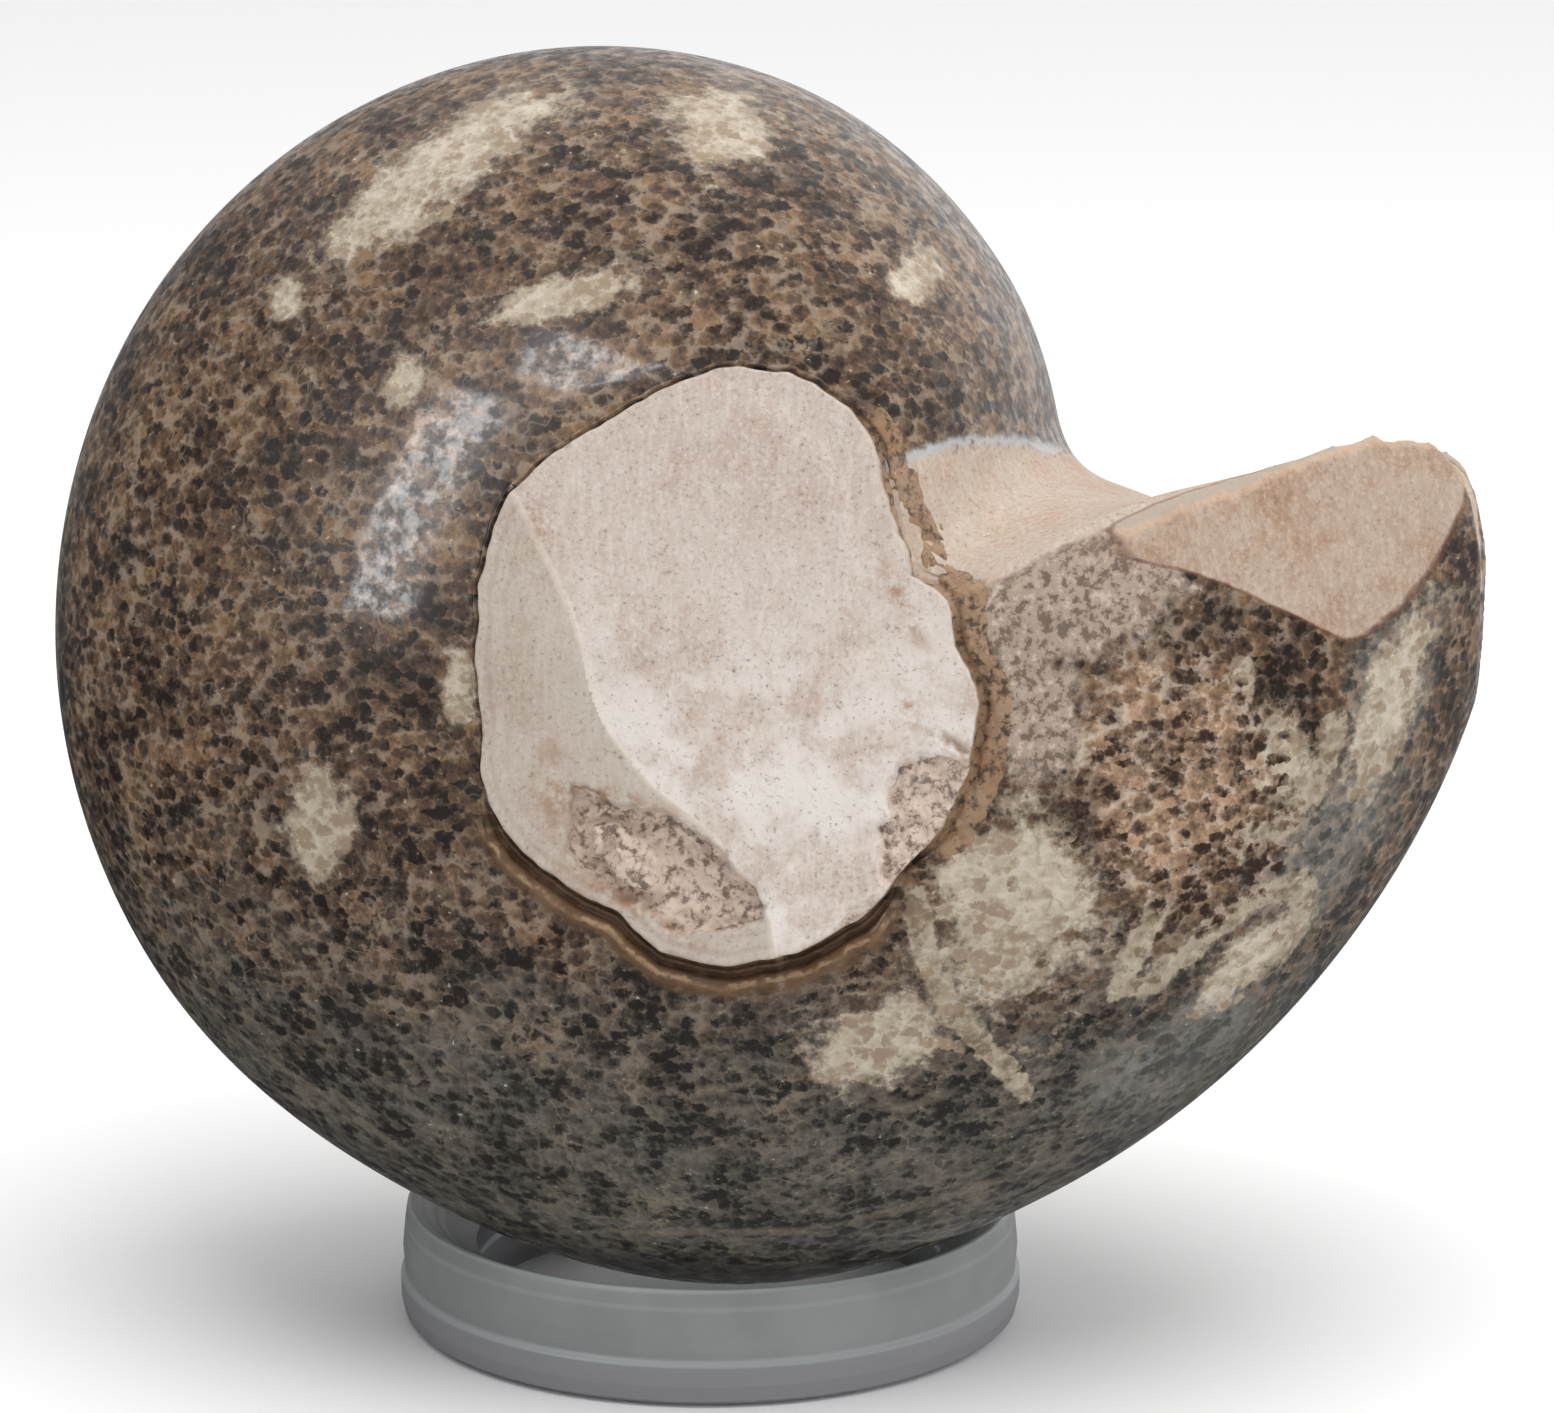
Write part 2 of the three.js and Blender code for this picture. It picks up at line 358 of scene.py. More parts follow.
def near_ground_edge(points):
    """Return one where two of the lobes' ground surfaces meet, and nought away from their edges."""
    u, v, w = points.T
    angle, _, last, mouth = shell_parts(u, v, w)
    second = np.sort([last, mouth, outside_rim_facet(u, v, w)], axis=0)[1]
    on_lobe = (u > LOBE_START) & (angle > FIRST_ANGLE) & (angle < MOUTH_ARC[1])
    return smooth_step(second, *EDGE_ZONE) * on_lobe


def even_net(node):
    """Return the points and quads of a solid's surface, remeshed into even cells."""
    shape = bmesh.new()
    shape.from_mesh(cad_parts[node].data)
    bmesh.ops.remove_doubles(shape, verts=shape.verts, dist=SAME_POINT)
    mesh = bpy.data.meshes.new("net")
    shape.to_mesh(mesh)
    shape.free()
    worker = add_object("net", mesh)
    remesh = worker.modifiers.new("cells", "REMESH")
    remesh.mode = "VOXEL"
    remesh.voxel_size = CELL * MM
    graph = bpy.context.evaluated_depsgraph_get()
    net = bpy.data.meshes.new_from_object(worker.evaluated_get(graph))
    bpy.data.objects.remove(worker)
    points = np.zeros(len(net.vertices) * 3)
    net.vertices.foreach_get("co", points)
    quads = np.array([(list(face.vertices) + [face.vertices[-1]])[:4] for face in net.polygons])
    print("net of", len(net.vertices), "points and", len(net.polygons), "cells")
    return model_to_coil(points.reshape(-1, 3)), quads


# %% [markdown]
# Meshes made from arrays share one small function. It turns the faces outwards by the sign of the volume
# that they enclose, keeps the object at the origin, and smooths the shading. It also stores the measured
# facts of each point as attributes, which the materials read. Smooth noise gives the lumps of broken rock.

# %% From arrays to a mesh object
def enclosed_volume(points, quads):
    """Return the signed volume inside closed faces."""
    a, b, c, d = (points[quads[:, k]] for k in range(4))
    return np.einsum("ij,ij->", a, np.cross(b, c)) / 6 + np.einsum("ij,ij->", a, np.cross(c, d)) / 6


def make_piece(name, places, quads, facts):
    """Make a closed mesh object from places in the coil's frame, with the facts stored as attributes."""
    points = coil_to_model(places)
    faces = [face[:3] if face[2] == face[3] else face for face in quads.tolist()]
    if enclosed_volume(points - points.mean(0), quads) < 0:
        faces = [face[::-1] for face in faces]
    mesh = bpy.data.meshes.new(name)
    mesh.from_pydata(points.tolist(), [], faces)
    for fact_name, values in facts.items():
        stored = mesh.attributes.new(fact_name, "FLOAT", "POINT")
        stored.data.foreach_set("value", values.astype(np.float32))
    mesh.polygons.foreach_set("use_smooth", np.ones(len(mesh.polygons), bool))
    mesh.update()
    piece = add_object(name, mesh)
    print(name, len(mesh.polygons), "faces, box", [round(side / MM, 2) for side in piece.dimensions])
    return piece


def lumps(points, size, seed):
    """Return smooth noise between minus one and one at points, with lumps of this size in millimetres."""
    shift = Vector((seed * 7.3, seed * 3.1, seed * 5.7))
    return np.array([noise.noise(Vector(point) / size + shift) for point in points])


# %% [markdown]
# Markings that belong to a place, such as the pale blotches, the looping veins and the edge of the rock,
# are measured in the mesh as plain distances. The material later decides how wide, how ragged and what
# colour each one is. The hidden flank gets the same kinds of marks, turned to another place.

# %% Markings of the flank
# A spot is its middle's u and v, its half length and half width, and its turn in degrees.
PALE_BLOTCHES = [(24, -19.5, 6.5, 8.5, -10), (14, -30.4, 6, 3.6, 20), (-24.5, 36, 11, 3.4, 40),
                 (-2, 41, 4.5, 3.2, -30), (-12.5, 26.3, 5.5, 1.6, 15), (-31, -15, 2.6, 4.6, 10),
                 (-24.6, 19.6, 1.8, 2.2, 0), (13.9, 29.2, 1.6, 2.4, 0), (51.8, -2.5, 1.9, 8.5, -18),
                 (41.5, -23.6, 1.8, 5.2, -45), (43.2, -7.8, 3, 4, 0), (29.4, -7.6, 1.5, 2.8, -20),
                 (-35.8, 25.8, 1.6, 1.8, 0), (-19.3, -3.8, 1.6, 2.6, 0)]
VEIN_LOOPS = [[(31.2, -12.2), (34.1, -14.9), (35.2, -18.1), (34.1, -20.9), (32.6, -23.7), (31.7, -26.1),
               (34.1, -25.6), (36.8, -23.3), (40.2, -20), (42.7, -18.4), (45.6, -17.4), (45.2, -20.5),
               (43.3, -23.4)],
              [(41, -0.9), (40.1, -4.6), (40.3, -9.3), (40.9, -14.9), (44.2, -12.9), (46.5, -9.8),
               (47.8, -4.7)],
              [(16.7, -19), (17.3, -23.8), (19.2, -27.9), (22.6, -31.7), (24.1, -34.3)]]
THIN_VEINS = [[(9.2, -32), (11.2, -35.3), (15.1, -36), (19.6, -34.3), (23, -38.6)],
              [(-16.2, -28.3), (-14.9, -35.4), (-13.9, -40.5), (-13.5, -44.7)],
              [(-0.1, -30.8), (3, -32.3), (3.7, -34.1), (-0.2, -34.9)],
              [(-9.5, -47.4), (-1.4, -46.9), (6.5, -46.7), (14.3, -44.7), (22, -42.2)],
              [(-40.7, -32.6), (-32.1, -37.8), (-23.9, -43), (-16.6, -46.9)]]
CRYSTAL_PATCH = (35.5, -9.5, 7.5, 10, 25)
# These spots are painted sheen: grey reflections on the polish, laid into the colour.
GREY_SHEEN_SPOTS = [(47.5, -13.5, 4, 9, -35), (52, -2, 3, 9, -15), (36, -31, 9, 3, 40)]
CRUMBLY_PATCHES = [(27.5, 3.8, 8.5, 4.2, 22), (25.5, -4.5, 3.2, 4.5, 0), (22, 14.5, 4, 1.6, -5)]
STAINS = [(-11.4, -11.4, 1.2, 3, 10), (-7, -11.9, 4, 0.5, -12), (-4.5, -20.7, 5, 0.55, -28),
          (19.6, -7.3, 2.6, 0.6, -30), (-13.2, 9.2, 0.5, 2.2, 30), (15.2, 3.5, 0.6, 3.4, 28),
          (16, -4.5, 0.5, 1.6, 25)]
FACET_EDGE = [(26, 11), (30, 8.6), (33.5, 7.4), (37, 6.7), (40.5, 5.4), (45, 3.4), (48.9, 1.9), (52.7, 4.2),
              (55.5, 4.6), (60, 6)]
COLLAR_LINE = [(11, 12.5), (15, 14.3), (18, 15.4), (20.8, 15.9), (24, 15.4), (27.3, 13.9), (34, 12.5)]
FAR_TURN = math.radians(-70)
# No measure needs to go beyond this many millimetres.
LIMIT = 20.0
CREST_FADE = (3, 9)
FOLD_REACH = (11, 34)
FOLD_DEPTH = 1.2
INNER_DEPTH = 0.9
RIM_START = (25, 4)
FLANK_START = 20
CRUMBLY_START = 12
CREST_CLEARANCE = 9


def turned_for_flank(u, v, w):
    """Return flank coordinates, turned to another place on the far flank."""
    far = w > 0
    return (np.where(far, u * math.cos(FAR_TURN) - v * math.sin(FAR_TURN), u),
            np.where(far, u * math.sin(FAR_TURN) + v * math.cos(FAR_TURN), v))


def near_spot(u, v, spot):
    """Return one at the middle of a soft oval spot, a half at its edge and nought far out."""
    middle_u, middle_v, half_length, half_width, degrees = spot
    turn = math.radians(degrees)
    right = u - middle_u
    up = v - middle_v
    along = right * math.cos(turn) + up * math.sin(turn)
    aside = up * math.cos(turn) - right * math.sin(turn)
    return np.exp(-math.log(2) * ((along / half_length) ** 2 + (aside / half_width) ** 2))


def near_spots(u, v, spots):
    """Return the nearness of the nearest of several spots."""
    return np.max([near_spot(u, v, spot) for spot in spots], axis=0)


def distance_to_lines(u, v, lines):
    """Return the distance from points to the nearest of several drawn lines."""
    nearest = np.full(len(u), FAR_AWAY)
    for line in lines:
        for (u1, v1), (u2, v2) in zip(line[:-1], line[1:]):
            length = (u2 - u1) ** 2 + (v2 - v1) ** 2
            t = np.clip(((u - u1) * (u2 - u1) + (v - v1) * (v2 - v1)) / length, 0, 1)
            nearest = np.minimum(nearest, np.hypot(u - u1 - t * (u2 - u1), v - v1 - t * (v2 - v1)))
    return nearest


def markings(points):
    """Measure everything that the stone's material needs to know at each point."""
    u, v, w = points.T
    angle, earlier, last, mouth = shell_parts(u, v, w)
    flank_u, flank_v = turned_for_flank(u, v, w)
    bearing, beyond = plug_place(u, v)
    on_mouth = np.where((angle > MOUTH_ARC[0]) & (angle < MOUTH_ARC[1]), mouth - last, -LIMIT)
    on_mouth = np.minimum(on_mouth, 2 * (earlier - INNER_DEPTH))
    near_fold = (u > FOLD_REACH[0]) & (u < FOLD_REACH[1]) & (v > 0) & (earlier < FOLD_DEPTH)
    below_collar = np.minimum(through_points(COLLAR_LINE, u) - v, mouth + 0.6)
    on_mouth = np.maximum(on_mouth, np.where(near_fold, below_collar, -LIMIT))
    on_inner_whorl = (u > FOLD_REACH[0]) & (angle < MOUTH_ARC[1]) & (earlier < INNER_DEPTH)
    above_fold = np.where(on_inner_whorl, v - through_points(COLLAR_LINE, u), LIMIT)
    facet = outside_rim_facet(u, v, w) - np.maximum(last, mouth)
    facet = np.minimum(facet, v - through_points(FACET_EDGE, u))
    on_lobe = (u > RIM_START[0]) & (np.abs(w) > RIM_START[1])
    edge_fade = smooth_step(np.abs(w), *CREST_FADE)
    on_flank = np.abs(w) > FLANK_START
    return {
        "pale": edge_fade * near_spots(flank_u, flank_v, PALE_BLOTCHES),
        "crystals": edge_fade * near_spots(flank_u, flank_v, [CRYSTAL_PATCH]),
        # The grey measure places painted sheen, a reflection laid into the colour.
        "grey": edge_fade * near_spots(flank_u, flank_v, GREY_SHEEN_SPOTS),
        "crumbly": (np.abs(w) > CRUMBLY_START) * near_spots(u, v, CRUMBLY_PATCHES),
        "stain": near_spots(u, v, STAINS),
        "loop_mm": distance_to_lines(flank_u, flank_v, VEIN_LOOPS) + CREST_CLEARANCE * (1 - edge_fade),
        "vein_mm": distance_to_lines(flank_u, flank_v, THIN_VEINS) + CREST_CLEARANCE * (1 - edge_fade),
        "mouth_mm": np.clip(on_mouth, -LIMIT, LIMIT),
        "fold_mm": np.clip(above_fold, -LIMIT, LIMIT),
        "rim_mm": np.where(on_lobe, np.clip(facet, -LIMIT, LIMIT), -LIMIT),
        "crest_mm": np.clip(-mouth, 0, LIMIT),
        "plug_mm": np.where(on_flank, beyond, LIMIT),
        "lip": np.where(on_flank, within_arc(bearing, LIP_ARC), 0),
        "face": np.zeros(len(u)),
        "ridge_mm": np.full(len(u), LIMIT),
        "broken": np.zeros(len(u)),
    }


# %% [markdown]
# Now the coil itself is sampled. Where the lobes' ground surfaces meet, extra relaxing rounds the edges as
# polishing does, and keeps them from looking like a saw. The bare shell is smooth, so the only relief it
# gets is on the crumbly part of the flank. Pits too small for the mesh are left to the material.

# %% Make the coil
ROUGH_RELIEF = 0.22
COARSE_LUMP = 1.3
FINE_LUMP = 0.6
EDGE_ROUNDS = 24
EVEN_SHARE = 0.5

coil_points, coil_quads = even_net("fossil")
for _ in range(DRAWING_ROUNDS):
    coil_points = drawn_onto(outside_coil, coil_points, 2)
    coil_points = relaxed(coil_points, coil_quads, EVEN_SHARE)
coil_points = drawn_onto(outside_coil, coil_points, 1)
edge_share = near_ground_edge(coil_points)[:, None]
for _ in range(EDGE_ROUNDS):
    coil_points = relaxed(coil_points, coil_quads, EVEN_SHARE * edge_share)
coil_facts = markings(coil_points)
rough = smooth_step(coil_facts["crumbly"], 0.3, 0.7)
outward = coil_points / np.linalg.norm(coil_points, axis=1, keepdims=True)
rough_places = np.flatnonzero(rough > 0.01)
relief = lumps(coil_points[rough_places], COARSE_LUMP, 1)
relief += 0.5 * lumps(coil_points[rough_places], FINE_LUMP, 2)
lift = ROUGH_RELIEF * relief * rough[rough_places]
coil_points[rough_places] += outward[rough_places] * lift[:, None]
coil = make_piece("ammonite_coil", coil_points, coil_quads, coil_facts)

# %% [markdown]
# The plug of rock is a round sheet of its own: rings of points that follow the ragged outline out from the
# middle, then a broken margin that dives under the shell, and a closed underside. Rings that follow the
# outline keep its edge crisp, which a plain grid can't do.

# %% Heights over the plug
PLUG_RIDGE = [(-15.3, 11.3), (-14, 9.3), (-10.4, 2.4), (-7.1, -7.1), (-3.8, -10.8), (1.1, -14.6),
              (4.2, -18.5), (5.8, -21), (6.4, -26)]
FACET_SLOPE = 0.11
# A break is its outline and its depth.
BREAKS = [
    ([(-10.1, -11.1), (-8, -11.5), (-4.4, -12.8), (-0.1, -14.1), (2.9, -16.9), (5.5, -19.8), (4.1, -22.4),
      (-0.6, -22.6), (-5.3, -20.8), (-9, -18.6), (-10.2, -14.9)], 1.3),
    ([(14.3, -10.5), (16.4, -7.2), (18.6, -7.4), (22.6, -9), (21.5, -12.5), (18.4, -17), (15.4, -19.4),
      (13.6, -17.3), (14.2, -13.3)], 1.2),
    ([(9.4, -23.4), (11.8, -20.4), (16.4, -18.2), (17, -19.8), (13, -22.8)], 1.5)]
BREAK_RAGGEDNESS = 1.1
SHELL_LOW, SHELL_HIGH = 15.0, 36.0
HALVINGS = 16
FLAKE = (-5.6, -16.6, 3.8, 1.9, -38)
FLAKE_HEIGHT = 1.1
CRACKS = [[(-10.1, -11.1), (-8, -11.4), (-4.4, -12.8), (-0.1, -14.1)], [(14.4, -2.5), (16.3, -5.9)],
          [(17.4, -5.9), (22.6, -8.8)], [(-8.8, -17.4), (-6.4, -15.1)]]
CRACK_WIDTH = 0.45
CRACK_DEPTH = 0.5


def beyond_ridge(u, v):
    """Return the distance to the ridge on the plug, negative on the sloping corner's side."""
    distance = distance_to_lines(u, v, [PLUG_RIDGE])
    ridge_u = through_points([(-ridge_v, ridge_u) for ridge_u, ridge_v in PLUG_RIDGE], -v)
    return np.where(u > ridge_u, distance, -distance)


def shell_height(u, v):
    """Find how far the shell stands out from the middle of the coil over points of the flank."""
    low = np.full(len(u), SHELL_LOW)
    high = np.full(len(u), SHELL_HIGH)
    for _ in range(HALVINGS):
        middle = (low + high) / 2
        inside = outside_shell(u, v, -middle) < 0
        low = np.where(inside, middle, low)
        high = np.where(inside, high, middle)
    return (low + high) / 2


def inside_outline(u, v, outline):
    """Return how deep points lie inside a closed outline, negative outside it."""
    closed = outline + outline[:1]
    inside = np.zeros(len(u), bool)
    for (u1, v1), (u2, v2) in zip(closed[:-1], closed[1:]):
        crosses = (v1 > v) != (v2 > v)
        inside ^= crosses & (u < u1 + (u2 - u1) * (v - v1) / (v2 - v1 + 1e-9))
    return np.where(inside, 1, -1) * distance_to_lines(u, v, [closed])


def face_height(u, v):
    """Return the height of the plug's ground and broken face, and how broken it is."""
    height = FLANK_FLAT + FACET_SLOPE * np.minimum(beyond_ridge(u, v), 0)
    flat = np.stack([u, v, np.zeros(len(u))], 1)
    rag = BREAK_RAGGEDNESS * (lumps(flat, 2.4, 5) + 0.5 * lumps(flat, 0.9, 6))
    broken = np.zeros(len(u))
    for outline, depth in BREAKS:
        share = smooth_step(inside_outline(u, v, outline) + rag, -0.05, 0.75)
        height -= depth * share
        broken = np.maximum(broken, share)
    flake = smooth_step(near_spot(u + rag * 0.6, v, FLAKE), 0.48, 0.6)
    crack = 1 - smooth_step(distance_to_lines(u, v, CRACKS) + 0.25 * rag, 0, CRACK_WIDTH)
    return height + FLAKE_HEIGHT * flake * broken - CRACK_DEPTH * crack, broken


# %% [markdown]
# The margin has three moods. Mostly it is a thin crack between rock and shell. Along the lower left a lip
# of shell stands up beyond a groove, with a second fine edge inside it. On the right it is all crumbs. Each
# mood is a drawn profile, and the arcs above say where one fades into the next.

# %% The broken margin's profile
# A profile's points are the distance out from the rock's edge and the rise above the shell.
PLAIN_PROFILE = [(0, 0.05), (0.08, -0.08), (0.25, 0.02), (0.5, 0.03), (0.8, -0.5)]
LIP_PROFILE = [(0, -0.3), (0.25, -0.6), (0.5, -0.2), (0.7, -0.25), (0.9, -0.5), (1.3, 0.1), (1.55, 0.3),
               (2.2, 0.28), (2.4, 0.1), (2.9, -0.5)]
CRUMBLE_PROFILE = [(0, -0.3), (0.5, -0.6), (1, -0.1), (1.7, 0.05), (2.4, 0.06), (3.2, -0.6)]


def margin_rise(bearing, beyond):
    """Return how far the margin stands above the shell's own surface."""
    lip = within_arc(bearing, LIP_ARC)
    crumble = within_arc(bearing, CRUMBLE_ARC)
    share = beyond / plug_margin(bearing)
    plain_rise = through_points(PLAIN_PROFILE, share * PLAIN_MARGIN)
    lip_rise = through_points(LIP_PROFILE, share * LIP_MARGIN)
    crumble_rise = through_points(CRUMBLE_PROFILE, share * CRUMBLE_MARGIN)
    return plain_rise * (1 - lip) * (1 - crumble) + lip_rise * lip + crumble_rise * crumble * (1 - lip)


# %% [markdown]
# Each plug is now put together from its rings. Noise chips the broken parts and the crumbly edge, the
# ground face keeps almost none of it, and the last ring dives under the shell, so that no gap shows. A fan
# closes the middle and another closes the underside, which leaves a solid that could be printed.

# %% Make the two plugs
PLUG_SECTORS = 540
FACE_RINGS = 118
MARGIN_RINGS = 34
PLUG_UNDERSIDE = 28.0
FACE_RELIEF = 0.03
BROKEN_RELIEF = 0.85
CRUMB_RELIEF = 0.4
RAG_SIZES = (3.4, 1.1)
CHIP_SIZES = (1.9, 0.7)
ABOVE_SHELL = 0.3
TUCKED_UNDER = 0.8


def make_plug(name, side, seed):
    """Make the plug of one flank; side is minus one near the viewer and one beyond."""
    bearing = np.linspace(0, 360, PLUG_SECTORS, endpoint=False)
    round_trip = np.stack([np.cos(np.radians(bearing)), np.sin(np.radians(bearing))], 1)
    around = np.c_[round_trip * 20, np.zeros(PLUG_SECTORS)]
    rag = lumps(around, RAG_SIZES[0], seed) + 0.4 * lumps(around, RAG_SIZES[1], seed + 1)
    radius = plug_radius(bearing) + OUTLINE_RAGGEDNESS * rag
    face = np.linspace(0, 1, FACE_RINGS + 1)[1:, None] * radius
    margin = radius + np.linspace(0, 1, MARGIN_RINGS + 1)[1:, None] * plug_margin(bearing)
    reach = np.concatenate([face, margin])
    u = (PLUG_CENTRE[0] + reach * round_trip[:, 0]).ravel()
    v = (PLUG_CENTRE[1] + reach * round_trip[:, 1]).ravel()
    all_bearings = np.tile(bearing, len(reach))
    beyond = (reach - radius).ravel()
    on_face = beyond <= 1e-6
    shell = shell_height(u, v)
    top, broken = face_height(u, v)
    top = np.where(broken > 0.1, top, np.maximum(top, shell + ABOVE_SHELL))
    height = np.where(on_face, top, shell + margin_rise(all_bearings, beyond))
    flat = np.stack([u, v, height], 1)
    crumble = np.where(on_face, 0, within_arc(all_bearings, CRUMBLE_ARC))
    shaking = FACE_RELIEF + BROKEN_RELIEF * np.where(on_face, broken, 0) + CRUMB_RELIEF * crumble
    chips = 1.3 * np.abs(lumps(flat, CHIP_SIZES[0], seed))
    chips += 0.7 * np.abs(lumps(flat, CHIP_SIZES[1], seed + 1)) - 0.4
    height = height + shaking * chips
    height = np.where(beyond >= plug_margin(all_bearings) - 0.05, shell - TUCKED_UNDER, height)
    rim = np.arange(len(reach) - 1)[:, None] * PLUG_SECTORS + np.arange(PLUG_SECTORS)
    after = np.roll(rim, -1, axis=1)
    quads = np.stack([rim, after, after + PLUG_SECTORS, rim + PLUG_SECTORS], -1).reshape(-1, 4)
    last_ring = (len(reach) - 1) * PLUG_SECTORS + np.arange(PLUG_SECTORS)
    centre = len(u)
    below = centre + 1
    first_ring = np.arange(PLUG_SECTORS)
    fan = np.stack([np.full(PLUG_SECTORS, centre), first_ring, np.roll(first_ring, -1),
                    np.roll(first_ring, -1)], 1)
    under = np.stack([np.full(PLUG_SECTORS, below), np.roll(last_ring, -1), last_ring, last_ring], 1)
    points = np.concatenate([np.stack([u, v, side * height], 1),
                             [[*PLUG_CENTRE, side * FLANK_FLAT], [*PLUG_CENTRE, side * PLUG_UNDERSIDE]]])
    facts = markings(points)
    facts["face"] = np.append(on_face, [True, False]).astype(float)
    facts["ridge_mm"] = beyond_ridge(points[:, 0], points[:, 1])
    facts["broken"] = np.append(np.maximum(np.where(on_face, broken, 0), crumble), [0, 0])
    facts["plug_mm"] = np.append(beyond, [-LIMIT, -LIMIT])
    return make_piece(name, points, np.concatenate([quads[:, ::-1], fan, under]), facts)


near_plug = make_plug("navel_plug_near", -1, 3)
far_plug = make_plug("navel_plug_far", 1, 8)

# %% [markdown]
# Materials are built from a few small helpers, so that each recipe reads as a list of layers: a node is
# put in the tree, its sockets are linked or set by name, and colours are given as eye values from 0 to 255.

# %% Helpers for shader trees
def ink(red, green, blue):
    """Turn an eye colour from 0 to 255 into the linear colour that a shader needs."""
    return tuple(((value / 255 + 0.055) / 1.055) ** 2.4 for value in (red, green, blue)) + (1,)


def wire(tree, socket, value):
    """Link a socket to another, or set its own value."""
    if isinstance(value, bpy.types.NodeSocket):
        tree.links.new(value, socket)
    else:
        socket.default_value = value


def put(tree, kind, sockets, **options):
    """Put a shader node in the tree, set its options, and wire its sockets by name."""
    made = tree.nodes.new("ShaderNode" + kind)
    for name, value in options.items():
        setattr(made, name, value)
    for name, value in sockets.items():
        wire(tree, made.inputs[name], value)
    return made


def mix(tree, mask, below, above):
    """Lay one colour over another through a mask."""
    made = put(tree, "Mix", {}, data_type="RGBA")
    for index, value in ((0, mask), (6, below), (7, above)):
        wire(tree, made.inputs[index], value)
    return made.outputs[2]


def mix_value(tree, mask, below, above):
    """Go from one number to another by a mask."""
    made = put(tree, "Mix", {}, data_type="FLOAT")
    for index, value in ((0, mask), (2, below), (3, above)):
        wire(tree, made.inputs[index], value)
    return made.outputs[0]


def arithmetic(tree, how, *values):
    """Do one piece of arithmetic."""
    made = put(tree, "Math", {}, operation=how)
    for socket, value in zip(made.inputs, values):
        wire(tree, socket, value)
    return made.outputs[0]


def times(tree, first, *others):
    """Multiply values."""
    for other in others:
        first = arithmetic(tree, "MULTIPLY", first, other)
    return first


def plus(tree, first, second):
    """Add two values."""
    return arithmetic(tree, "ADD", first, second)


def minus(tree, first, second):
    """Take the second value from the first."""
    return arithmetic(tree, "SUBTRACT", first, second)


def weighted(tree, start, parts):
    """Add parts to a starting value, each by its own share; parts are (share, part) pairs."""
    for share, part in parts:
        start = plus(tree, start, times(tree, part, share))
    return start


def rise(tree, value, low, high, start=0.0, end=1.0):
    """Turn a value into a soft mask between two limits."""
    sockets = {"Value": value, "From Min": low, "From Max": high, "To Min": start, "To Max": end}
    return put(tree, "MapRange", sockets, interpolation_type="SMOOTHSTEP").outputs[0]


def cloud(tree, where, size, detail=3.0, sharpness=0.5):
    """Return soft noise with lumps of this size in millimetres."""
    linked = isinstance(size, bpy.types.NodeSocket)
    scale = arithmetic(tree, "DIVIDE", 1.0, size) if linked else 1 / size
    sockets = {"Vector": where, "Scale": scale, "Detail": detail, "Roughness": sharpness}
    return put(tree, "TexNoise", sockets).outputs[0]


def fact(tree, name):
    """Read one of the measures that are stored in the mesh."""
    return put(tree, "Attribute", {}, attribute_name=name).outputs["Fac"]


def millimetres(tree):
    """Return Object coordinates counted in millimetres."""
    place = put(tree, "TexCoord", {}).outputs["Object"]
    return put(tree, "Mapping", {"Vector": place, "Scale": (1000, 1000, 1000)}).outputs[0]


def height_of(tree, where):
    """Return the height above the table in millimetres."""
    return put(tree, "SeparateXYZ", {"Vector": where}).outputs["Z"]


def new_material(name):
    """Return a new material, its tree and its shader."""
    material = bpy.data.materials.new(name)
    material.use_nodes = True
    tree = material.node_tree
    return material, tree, tree.nodes["Principled BSDF"]


def new_group(name, inputs, outputs):
    """Start a shader group; inputs are (name, kind, default) and outputs are (name, kind)."""
    group = bpy.data.node_groups.new(name, "ShaderNodeTree")
    for socket_name, kind, default in inputs:
        socket = group.interface.new_socket(socket_name, in_out="INPUT", socket_type="NodeSocket" + kind)
        if default is not None:
            socket.default_value = default
    for socket_name, kind in outputs:
        group.interface.new_socket(socket_name, in_out="OUTPUT", socket_type="NodeSocket" + kind)
    return group, group.nodes.new("NodeGroupInput").outputs, group.nodes.new("NodeGroupOutput").inputs


def use_group(tree, group, sockets):
    """Place a group in a tree and wire its inputs."""
    made = tree.nodes.new("ShaderNodeGroup")
    made.node_tree = group
    for name, value in sockets.items():
        wire(tree, made.inputs[name], value)
    return made.outputs
